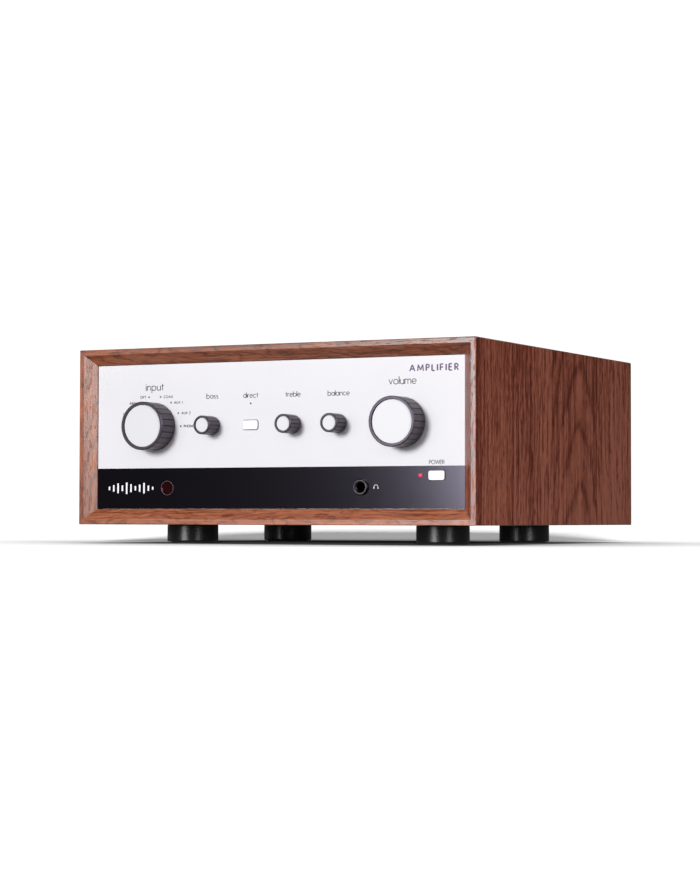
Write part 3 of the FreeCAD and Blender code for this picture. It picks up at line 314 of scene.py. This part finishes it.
def key_with_painted_gap_shade():
    """A white-faced key whose sides, behind its face, are painted black as the shade in the gap round it."""
    graph = Graph("button_finish")
    depth = graph.add("SeparateXYZ", graph.coordinates).outputs[1]
    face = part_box("power_button")[0].y
    # The black on the sides is painted shade, standing for the dark gap between the key and the band.
    white, black = (0.80, 0.80, 0.82), (0.010, 0.009, 0.010)
    behind = graph.remap(depth, face + 0.35 * MM, face + 0.45 * MM)
    fine = graph.noise(graph.scaled((FINE_GRAIN,) * 3))
    return graph.finish(
        Base_Color=graph.blend(behind, white, black),
        Roughness=graph.remap(fine, 0.3, 0.7, to_low=0.27, to_high=0.33),
        Normal=graph.bump(fine, 0.03, 0.00005),
    )


def line_cores():
    """Black blocks whose socket cores are orange or red in the lower row and white in the upper."""
    graph = Graph("line_core_finish")
    place = graph.add("SeparateXYZ", graph.coordinates).outputs
    low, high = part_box("rca_block")
    black, white = (0.012, 0.012, 0.013), (0.75, 0.75, 0.72)
    orange, red = (0.80, 0.30, 0.02), (0.45, 0.010, 0.010)
    rows = graph.remap(place[2], low.z, high.z)
    row = graph.ramp(rows, (0.0, orange), (0.36, red), (0.73, white), interpolation="CONSTANT")
    core = graph.remap(place[1], high.y - 12 * MM, high.y - 11.9 * MM)
    fine = graph.noise(graph.scaled((FINE_GRAIN,) * 3))
    return graph.finish(
        Base_Color=graph.blend(core, black, row),
        Roughness=graph.remap(fine, 0.3, 0.7, to_low=0.32, to_high=0.38),
        Normal=graph.bump(fine, 0.04, 0.00005),
    )


def front_finishes():
    black_sheen, knob_sheen, nut_sheen = (0.72, 0.66, 0.86), (0.88, 0.82, 1.0), (0.35, 0.33, 0.40)
    return {
        moulded("fascia_white_paint", (0.79, 0.79, 0.815), 0.42, grain=1800.0, relief=0.05,
                variation=0.01): ["fascia_upper"],
        moulded("fascia_black_paint", (0.0010, 0.0008, 0.0014), 0.155, grain=1800.0, relief=0.02,
                sheen=black_sheen): ["fascia_lower"],
        moulded("knob_finish", (0.026, 0.017, 0.026), 0.36, grain=1600.0, relief=0.05, sheen=knob_sheen):
            [node for node in NODES if node.endswith("_knob") and node != "ground_knob"],
        moulded("disc_finish", (0.54, 0.54, 0.57), 0.40, grain=1600.0, relief=0.03, variation=0.01):
            [node for node in NODES if node.endswith("_knob_cap")],
        key_with_painted_gap_shade(): ["direct_button", "power_button"],
        moulded("foot_finish", (0.010, 0.010, 0.011), 0.30, relief=0.05): ["feet"],
        moulded("rubber_finish", (0.02, 0.02, 0.02), 0.75, grain=600.0): ["foot_pads"],
        moulded("nut_finish", (0.002, 0.002, 0.003), 0.30, relief=0.02, sheen=nut_sheen):
            ["bush_nuts", "headphone_socket"],
        moulded("window_lens", (0.010, 0.0004, 0.0006), 0.20, relief=0.01, sheen=(0.5, 0.2, 0.2)):
            ["ir_window"],
        lens("power_lens", (0.62, 0.04, 0.09), 0.15, glow=0.30): ["power_led"],
        lens("indicator_lens", (0.015, 0.015, 0.017), 0.35): ["indicator_leds"],
    }


def rear_finishes():
    return {
        moulded("rear_paint", (0.014, 0.014, 0.015), 0.50, grain=700.0, relief=0.3): ["rear_panel"],
        metal("black_screw_finish", (0.03, 0.03, 0.032), 0.35): ["case_screws"],
        moulded("socket_moulding", (0.012, 0.012, 0.013), 0.42):
            ["terminal_plate", "mains_inlet", "optical_socket", "optical_shutter", "button_switches"],
        line_cores(): ["rca_block"],
        metal("nickel_plate", (0.50, 0.50, 0.53), 0.22): ["ground_knob", "mains_pins", "digital_sockets"],
        metal("gilt_plate", (0.83, 0.62, 0.26), 0.22): ["rca_jacks", "terminal_posts"],
        moulded("rocker_finish", (0.010, 0.010, 0.010), 0.25): ["mains_rocker"],
        moulded("red_cap", (0.42, 0.012, 0.012), 0.25, coat=0.4):
            ["left_positive_terminal_cap", "right_positive_terminal_cap"],
        moulded("black_cap", (0.012, 0.012, 0.012), 0.25, coat=0.4):
            ["left_negative_terminal_cap", "right_negative_terminal_cap"],
    }


def inside_finishes():
    return {
        metal("zinc_sheet_finish", (0.55, 0.56, 0.58), 0.40):
            ["chassis_base", "chassis_cover", "chassis_front", "rotary_controls", "volume_pot"],
        metal("steel_finish", (0.50, 0.50, 0.52), 0.32):
            ["foot_screws", "transformer_mount"] + [node for node in NODES if node.endswith("_shaft")],
        moulded("laminate_finish", (0.02, 0.13, 0.05), 0.35): ["circuit_boards"],
        moulded("winding_finish", (0.32, 0.13, 0.03), 0.30): ["transformer"],
        moulded("can_finish", (0.015, 0.015, 0.03), 0.35): ["reservoir_capacitors"],
        moulded("anodised_finish", (0.02, 0.02, 0.02), 0.40): ["heatsink"],
        moulded("epoxy_finish", (0.02, 0.02, 0.02), 0.50): ["output_transistors"],
    }


def make_finishes():
    for finishes in (front_finishes(), rear_finishes(), inside_finishes()):
        for material, nodes in finishes.items():
            for node in nodes:
                dress(node, material)


# ---------------------------------------------------------------- printed legends

def arc(x, y, radius, start, end, steps=14):
    """Points of an arc between two angles in degrees."""
    angles = [math.radians(start + (end - start) * i / steps) for i in range(steps + 1)]
    return [(x + radius * math.cos(a), y + radius * math.sin(a)) for a in angles]


ASCENDER = 1.58
BOWL = arc(0.5, 0.5, 0.5, 0, 360, 28)
ARCH = [(0.0, 0.0), (0.0, 1.0)], [(0.0, 0.56)] + arc(0.42, 0.56, 0.42, 180, 0) + [(0.84, 0.0)]

# Each letter: its width and its strokes, in units of the x-height or of the capital height
SMALL_LETTERS = {
    "a": (1.0, [BOWL, [(1, 0), (1, 1)]]),
    "b": (1.0, [BOWL, [(0, 0), (0, ASCENDER)]]),
    "c": (0.88, [arc(0.5, 0.5, 0.5, 42, 318)]),
    "d": (1.0, [BOWL, [(1, 0), (1, ASCENDER)]]),
    "e": (1.0, [[(0, 0.5)] + arc(0.5, 0.5, 0.5, 0, 318)]),
    "f": (0.56, [[(0.2, 0), (0.2, 1.28)] + arc(0.48, 1.28, 0.28, 180, 80), [(0, 1), (0.52, 1)]]),
    "i": (0.0, [[(0, 0), (0, 1)], [(0, 1.32), (0, 1.46)]]),
    "l": (0.0, [[(0, 0), (0, ASCENDER)]]),
    "m": (1.36, [[(0, 0), (0, 1)], [(0, 0.64)] + arc(0.34, 0.64, 0.34, 180, 0) + [(0.68, 0)],
                 [(0.68, 0.64)] + arc(1.02, 0.64, 0.34, 180, 0) + [(1.36, 0)]]),
    "n": (0.84, list(ARCH)),
    "o": (1.0, [BOWL]),
    "p": (1.0, [BOWL, [(0, 1), (0, 1 - ASCENDER)]]),
    "r": (0.46, [[(0, 0), (0, 1)], [(0, 0.56)] + arc(0.42, 0.56, 0.42, 180, 85)]),
    "s": (0.54, [arc(0.27, 0.745, 0.235, 40, 270) + arc(0.27, 0.255, 0.255, 90, -140)]),
    "t": (0.5, [[(0.22, 0), (0.22, 1.4)], [(0, 1), (0.5, 1)]]),
    "u": (0.84, [[(0, 1), (0, 0.42)] + arc(0.42, 0.42, 0.42, 180, 360), [(0.84, 0), (0.84, 1)]]),
    "v": (0.84, [[(0, 1), (0.42, 0), (0.84, 1)]]),
}
CAPITALS = {
    "A": (0.9, [[(0, 0), (0.45, 1), (0.9, 0)], [(0.16, 0.34), (0.74, 0.34)]]),
    "B": (0.55, [[(0.28, 0.53)] + arc(0.28, 0.765, 0.235, -90, 90) + [(0, 1), (0, 0), (0.28, 0)]
                 + arc(0.28, 0.265, 0.265, -90, 90) + [(0, 0.53)]]),
    "C": (0.9, [arc(0.5, 0.5, 0.5, 42, 318)]),
    "D": (0.8, [[(0, 0), (0, 1), (0.3, 1)] + arc(0.3, 0.5, 0.5, 90, -90) + [(0, 0)]]),
    "E": (0.52, [[(0.52, 0), (0, 0), (0, 1), (0.52, 1)], [(0, 0.53), (0.48, 0.53)]]),
    "F": (0.5, [[(0, 0), (0, 1), (0.5, 1)], [(0, 0.53), (0.46, 0.53)]]),
    "G": (0.95, [arc(0.5, 0.5, 0.5, 42, 352) + [(0.55, 0.44)]]),
    "H": (0.74, [[(0, 0), (0, 1)], [(0.74, 0), (0.74, 1)], [(0, 0.52), (0.74, 0.52)]]),
    "I": (0.0, [[(0, 0), (0, 1)]]),
    "K": (0.7, [[(0, 0), (0, 1)], [(0.62, 1), (0, 0.4)], [(0.2, 0.58), (0.7, 0)]]),
    "L": (0.45, [[(0, 1), (0, 0), (0.45, 0)]]),
    "M": (1.0, [[(0, 0), (0.1, 1), (0.5, 0.15), (0.9, 1), (1.0, 0)]]),
    "N": (0.8, [[(0, 0), (0, 1), (0.8, 0), (0.8, 1)]]),
    "O": (1.0, [BOWL]),
    "P": (0.52, [[(0, 0), (0, 1), (0.26, 1)] + arc(0.26, 0.74, 0.26, 90, -90) + [(0, 0.48)]]),
    "R": (0.58, [[(0, 0), (0, 1), (0.26, 1)] + arc(0.26, 0.74, 0.26, 90, -90) + [(0, 0.48)],
                 [(0.24, 0.48), (0.58, 0)]]),
    "S": (0.54, [arc(0.27, 0.745, 0.235, 40, 270) + arc(0.27, 0.255, 0.255, 90, -140)]),
    "T": (0.62, [[(0, 1), (0.62, 1)], [(0.31, 0), (0.31, 1)]]),
    "U": (0.72, [[(0, 1), (0, 0.36)] + arc(0.36, 0.36, 0.36, 180, 360) + [(0.72, 1)]]),
    "W": (1.2, [[(0, 1), (0.3, 0), (0.6, 1), (0.9, 0), (1.2, 1)]]),
    "X": (0.74, [[(0, 0), (0.74, 1)], [(0, 1), (0.74, 0)]]),
    "Y": (0.8, [[(0, 1), (0.4, 0.5), (0.8, 1)], [(0.4, 0.5), (0.4, 0)]]),
    "1": (0.18, [[(0, 0.82), (0.18, 1), (0.18, 0)]]),
    "2": (0.54, [arc(0.27, 0.73, 0.27, 165, -35) + [(0, 0), (0.54, 0)]]),
    " ": (0.3, []),
}
LETTERS = {**SMALL_LETTERS, **CAPITALS}
PRINT_FLATNESS = 0.06
PRINT_LIFT = 0.01 * MM
RING_STEPS = 72
SHARP_TURN = math.radians(35)


def ink(name, colour):
    """Screen-printed ink: slightly uneven in tone and gloss."""
    return moulded(name, colour, 0.5, grain=2500.0, relief=0.05, variation=0.04)


def split_at_corners(points):
    """Cut a stroke wherever it turns sharply, because a swept line pinches there."""
    runs = [[points[0], points[1]]]
    for before, here, after in zip(points, points[1:], points[2:]):
        incoming = Vector((here[0] - before[0], here[1] - before[1]))
        outgoing = Vector((after[0] - here[0], after[1] - here[1]))
        turned = incoming.length > 0 and outgoing.length > 0 and incoming.angle(outgoing) > SHARP_TURN
        if turned:
            runs.append([here])
        runs[-1].append(after)
    return runs


def word_width(text, gap):
    return sum(LETTERS[letter][0] for letter in text) + gap * (len(text) - 1)


def swept_lines(name, lines, place, thickness, material, resolution=1, closed=False):
    """Round wire along each line of (x, z) points, fixed to the chassis."""
    data = bpy.data.curves.new(name, "CURVE")
    data.dimensions = "3D"
    data.bevel_depth = thickness / 2
    data.bevel_resolution = resolution
    data.use_fill_caps = not closed
    for points in lines:
        spline = data.splines.new("POLY")
        spline.points.add(len(points) - 1)
        spline.use_cyclic_u = closed
        for point, (x, z) in zip(spline.points, points):
            point.co = (x, 0.0, z, 1.0)
    data.materials.append(material)
    piece = bpy.data.objects.new(name, data)
    piece.location = place
    bpy.context.scene.collection.objects.link(piece)
    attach(piece, "chassis")
    return piece


def print_strokes(name, strokes, place, weight, material, facing=1):
    """Flat printed lines on a vertical face. facing is 1 on the front and -1 on the back."""
    lines = [[(facing * x, z) for x, z in run] for stroke in strokes for run in split_at_corners(stroke)]
    piece = swept_lines(name, lines, place - Vector((0, facing * PRINT_LIFT, 0)), weight, material)
    piece.scale = (1, PRINT_FLATNESS, 1)


def piece_name(text):
    return text.replace(" ", "_").lower()


def legend(name, text, place, size, weight, material, width=None, align=0.5, facing=1):
    """A word in plain monoline letters. size is the x-height or the capital height.

    With a width, the letters are spaced to fill it. align is the share of the word that
    lies left of the place.
    """
    gap = 0.32
    if width:
        gap = (width / size - word_width(text, 0)) / (len(text) - 1)
    start = -align * word_width(text, gap)
    strokes = []
    for letter in text:
        own_width, own_strokes = LETTERS[letter]
        for points in own_strokes:
            strokes.append([((start + x) * size, z * size) for x, z in points])
        start += own_width + gap
    print_strokes("legend_" + name, strokes, place, weight, material, facing)


def front_place(node, rise):
    """A point on the fascia, above the middle of a control."""
    middle = centre_of(node)
    return Vector((middle.x, FASCIA_FRONT, middle.z + rise))


def make_control_legends(dark):
    """Function names over the controls, each spaced to its own width in millimetres."""
    # Height over the middle of the control, size of the letters and weight of the stroke
    large = 27.0 * MM, 3.4 * MM, 0.68 * MM
    small = 20.0 * MM, 2.35 * MM, 0.57 * MM
    controls = (("input_knob", "input", 15.2, large), ("volume_knob", "volume", 21.4, large),
                ("bass_knob", "bass", 9.6, small), ("direct_button", "direct", 12.2, small),
                ("treble_knob", "treble", 12.1, small), ("balance_knob", "balance", 17.3, small))
    for node, word, width, (rise, size, weight) in controls:
        legend(word, word, front_place(node, rise), size, weight, dark, width * MM)


def make_input_names(dark):
    """The names round the input knob, each beside its light."""
    names = ("PHONO", "AUX 2", "AUX 1", "COAX", "OPT", "ARC", "USB", "BT")
    radius, beyond, size, weight = 22.6 * MM, 2.8 * MM, 1.7 * MM, 0.46 * MM
    knob = centre_of("input_knob")
    for step, name in enumerate(names):
        angle = math.pi * step / (len(names) - 1)
        right_side = step < len(names) / 2
        x = knob.x + radius * math.cos(angle) + (beyond if right_side else -beyond)
        z = knob.z + radius * math.sin(angle) - size / 2
        legend(piece_name(name), name, Vector((x, FASCIA_FRONT, z)), size, weight, dark,
               align=0 if right_side else 1)


def make_band_prints(dark, light):
    """The word over the power button, and a headphone symbol: a thin band with thick cups."""
    power_rise, size, weight, width = 8.0 * MM, 2.7 * MM, 0.48 * MM, 11.7 * MM
    legend("power", "POWER", front_place("power_button", power_rise), size, weight, dark, width)

    band, cup, aside = 1.6 * MM, 1.2 * MM, 11.8 * MM
    thin, thick = 0.32 * MM, 0.7 * MM
    place = front_place("headphone_socket", 0.0) + Vector((aside, 0, 0))
    print_strokes("legend_headphones", [arc(0, 0, band, 0, 180)], place, thin, light)
    cups = [[(side, 0), (side, -cup)] for side in (-band, band)]
    print_strokes("legend_headphone_cups", cups, place, thick, light)


def make_emblem(light):
    """A plain row of sound bars in the lower left corner of the band."""
    heights = (0.30, 0.55, 0.85, 0.50, 1.0, 0.70, 0.38, 0.62, 0.90, 0.45, 0.25)
    left, width, tall, weight = -141.0 * MM, 38.0 * MM, 8.6 * MM, 1.5 * MM
    middle = SLEEVE_LOW.z + 27.1 * MM
    pitch = width / (len(heights) - 1)
    bars = [[(i * pitch, -h * tall / 2), (i * pitch, h * tall / 2)] for i, h in enumerate(heights)]
    print_strokes("emblem_bars", bars, Vector((left, FASCIA_FRONT, middle)), weight, light)


def make_object_name(violet):
    """What the object is, in the upper right corner of the white plate."""
    place = Vector((127.3 * MM, FASCIA_FRONT, SLEEVE_LOW.z + 108.6 * MM))
    size, weight, width = 4.4 * MM, 1.15 * MM, 37.5 * MM
    legend("object_name", "AMPLIFIER", place, size, weight, violet, width)


def make_highlight_rings():
    """Rings of painted highlight: thin pale lines laid on the round edge of the headphone nut and the rim of
    the remote-control window.
    """
    # The pale grey is a painted highlight, standing for light caught on these edges.
    highlight_paint = moulded("painted_highlight_edge", (0.30, 0.29, 0.31), 0.35, relief=0.02)
    for name, node, radius, thickness, proud in (("nut_edge", "headphone_socket", 4.8, 0.18, 2.0),
                                                 ("window_edge", "ir_window", 5.15, 0.11, 0.02)):
        circle = arc(0.0, 0.0, radius * MM, 0, 360, RING_STEPS)[:-1]
        place = front_place(node, 0.0) - Vector((0, proud * MM, 0))
        swept_lines(name, [circle], place, thickness * MM, highlight_paint, resolution=3, closed=True)


def make_prints():
    dark = ink("ink_dark", (0.014, 0.012, 0.015))
    light = ink("ink_light", (0.80, 0.80, 0.82))
    violet = ink("ink_violet", (0.07, 0.03, 0.11))
    make_control_legends(dark)
    make_input_names(dark)
    make_band_prints(dark, light)
    make_emblem(light)
    make_object_name(violet)
    make_rear_prints(light)


# ---------------------------------------------------------------- back

def make_rear_prints(light):
    """Plain function names over the rear sockets and terminals."""
    size, weight, clearance = 2.4 * MM, 0.34 * MM, 3.0 * MM
    jack_radius, line_pitch, digital_pitch = 5.5 * MM, 20 * MM, 22 * MM
    jacks_low, jacks_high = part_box("rca_jacks")
    last = jacks_high.x - jack_radius
    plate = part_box("terminal_plate")[1].z
    line_height = jacks_high.z + clearance
    digital_height = jacks_low.z + 2 * jack_radius + clearance
    words = [("PHONO", last, line_height), ("SPEAKERS", centre_of("terminal_plate").x, plate + clearance)]
    words += [(word, last - step * line_pitch, line_height)
              for step, word in enumerate(("AUX 1", "AUX 2", "OUT"), start=1)]
    words += [(word, last - step * digital_pitch, digital_height)
              for step, word in enumerate(("COAX", "OPT", "ARC", "USB"))]
    for word, x, height in words:
        legend("rear_" + piece_name(word), word, Vector((x, PANEL_BACK, height)), size, weight, light,
               facing=-1)


# ---------------------------------------------------------------- studio

def floor_paint():
    """Matt white with a painted shadow: its colour darkens close under the object. It throws less light back
    than the camera sees.
    """
    graph = Graph("floor_white")
    reach, falloff = 0.3, 1.5
    # The dark tone is a painted shadow, blended in close under the object by ambient occlusion.
    painted_shadow_tone, open_floor, bounce = (0.05,) * 3, (0.94,) * 3, (0.12,) * 3
    seen = graph.add("LightPath").outputs["Is Camera Ray"]
    openness = graph.add("AmbientOcclusion", None, reach).outputs["AO"]
    shaded = graph.blend(graph.math("POWER", openness, falloff), painted_shadow_tone, open_floor)
    return graph.finish(
        Base_Color=graph.blend(seen, bounce, shaded),
        Roughness=0.9,
        Specular_IOR_Level=0.0,
    )


def make_floor():
    half = 40.0
    data = bpy.data.meshes.new("floor")
    data.from_pydata([(-half, -half, 0), (half, -half, 0), (half, half, 0), (-half, half, 0)],
                     [], [(0, 1, 2, 3)])
    data.materials.append(floor_paint())
    floor = bpy.data.objects.new("floor", data)
    bpy.context.scene.collection.objects.link(floor)
    return floor


def make_world():
    """White behind the object for the camera, and a dim grey room for everything else."""
    room, backdrop = 0.07, 1.05
    world = bpy.data.worlds.new("studio")
    world.use_nodes = True
    nodes, links = world.node_tree.nodes, world.node_tree.links
    background = nodes["Background"]
    background.inputs["Color"].default_value = (1.0, 1.0, 1.0, 1.0)
    path = nodes.new("ShaderNodeLightPath")
    level = nodes.new("ShaderNodeMapRange")
    level.inputs["To Min"].default_value = room
    level.inputs["To Max"].default_value = backdrop
    links.new(path.outputs["Is Camera Ray"], level.inputs["Value"])
    links.new(level.outputs["Result"], background.inputs["Strength"])
    bpy.context.scene.world = world


def add_light(name, kind, energy, place, aim, **settings):
    data = bpy.data.lights.new(name, kind)
    data.energy = energy
    for key, value in settings.items():
        setattr(data, key, value)
    light = bpy.data.objects.new(name, data)
    light.location = place
    light.rotation_euler = (Vector(aim) - Vector(place)).to_track_quat("-Z", "Y").to_euler()
    light.visible_camera = False
    bpy.context.scene.collection.objects.link(light)
    return light


def softbox(name, place, aim, width, height, energy, receivers, colour=(1.0, 1.0, 1.0)):
    light = add_light(name, "AREA", energy, place, aim, shape="RECTANGLE", size=width, size_y=height,
                      color=colour)
    light.light_linking.receiver_collection = receivers


def floor_suns(receivers):
    """Light that whitens the floor alone: some from all round above, which leaves a soft shadow
    beneath the object, and some low from the front right, which leaves a long one behind it.
    """
    bearing, rise = math.radians(25.0), math.radians(4.2)
    low = Vector((math.sin(bearing) * math.cos(rise), -math.cos(bearing) * math.cos(rise), math.sin(rise)))
    above = Vector((0, 0, 1))
    for name, place, spread, energy in (("floor_sky", above, 120, 0.65), ("floor_horizon", above, 160, 0.35),
                                        ("floor_low", low, 8, 35.0)):
        sun = add_light(name, "SUN", energy, place, (0, 0, 0), angle=math.radians(spread))
        sun.light_linking.receiver_collection = receivers


def receivers_of_light(name, objects, state):
    collection = bpy.data.collections.new(name)
    for obj in objects:
        collection.objects.link(obj)
    for entry in collection.collection_objects:
        entry.light_linking.link_state = state
    return collection


def make_lights(floor):
    """Softboxes for the object and suns for the floor, so that each is exposed on its own."""
    on_object = receivers_of_light("lights_object", [floor], "EXCLUDE")
    shaded = [NODES[node] for node in ("fascia_upper", "fascia_lower", "cabinet_top")]
    beside = receivers_of_light("lights_beside", [floor, *shaded], "EXCLUDE")
    ahead = receivers_of_light("lights_ahead", [floor, NODES["fascia_upper"]], "EXCLUDE")
    on_plate = receivers_of_light("lights_plate", [NODES["fascia_upper"]], "INCLUDE")
    softbox("key", (-0.42, -2.2, 0.54), (-0.42, 0.0, 0.36), 0.7, 1.1, 53, ahead)
    softbox("right", (1.70, -1.33, 0.7), (0.0, 0.0, 0.1), 0.55, 1.4, 28, beside)
    softbox("plate", (-0.30, -2.4, 0.50), (0.0, 0.0, 0.08), 0.5, 0.5, 39, on_plate)
    softbox("plate_fill", (0.0, -1.8, 0.10), (0.0, 0.0, 0.08), 2.4, 1.6, 18, on_plate, (0.95, 0.92, 1.0))
    softbox("overhead", (0.0, 0.1, 2.2), (0.0, 0.0, 0.0), 1.4, 1.4, 14, on_object)
    softbox("left", (-2.2, 0.2, 0.9), (0.0, 0.0, 0.1), 1.0, 1.4, 12, on_object)
    softbox("rear", (-0.9, 2.3, 1.1), (0.0, 0.0, 0.1), 1.2, 1.2, 16, on_object)
    on_floor = receivers_of_light("lights_floor", [floor], "INCLUDE")
    floor_suns(on_floor)


def make_camera():
    """A long lens, low down and to the right, turned back towards the object."""
    data = bpy.data.cameras.new("camera")
    data.lens = 97.06
    aside, ahead, above = 816.4 * MM, 1480.2 * MM, 5.1 * MM
    camera = bpy.data.objects.new("camera", data)
    camera.location = (aside, SLEEVE_FRONT - ahead, SLEEVE_LOW.z + above)
    pitch, roll, turn = math.radians(90 + 2.044), math.radians(0.113), math.radians(26.897)
    camera.rotation_euler = (Euler((0, 0, turn)).to_matrix() @ Euler((pitch, 0, 0)).to_matrix()
                             @ Euler((0, 0, roll)).to_matrix()).to_euler()
    bpy.context.scene.collection.objects.link(camera)
    bpy.context.scene.camera = camera


make_camera()
make_walnut()
make_finishes()
make_prints()
make_highlight_rings()
make_world()
make_lights(make_floor())
bpy.context.scene.view_settings.view_transform = "Standard"

bpy.context.view_layer.update()
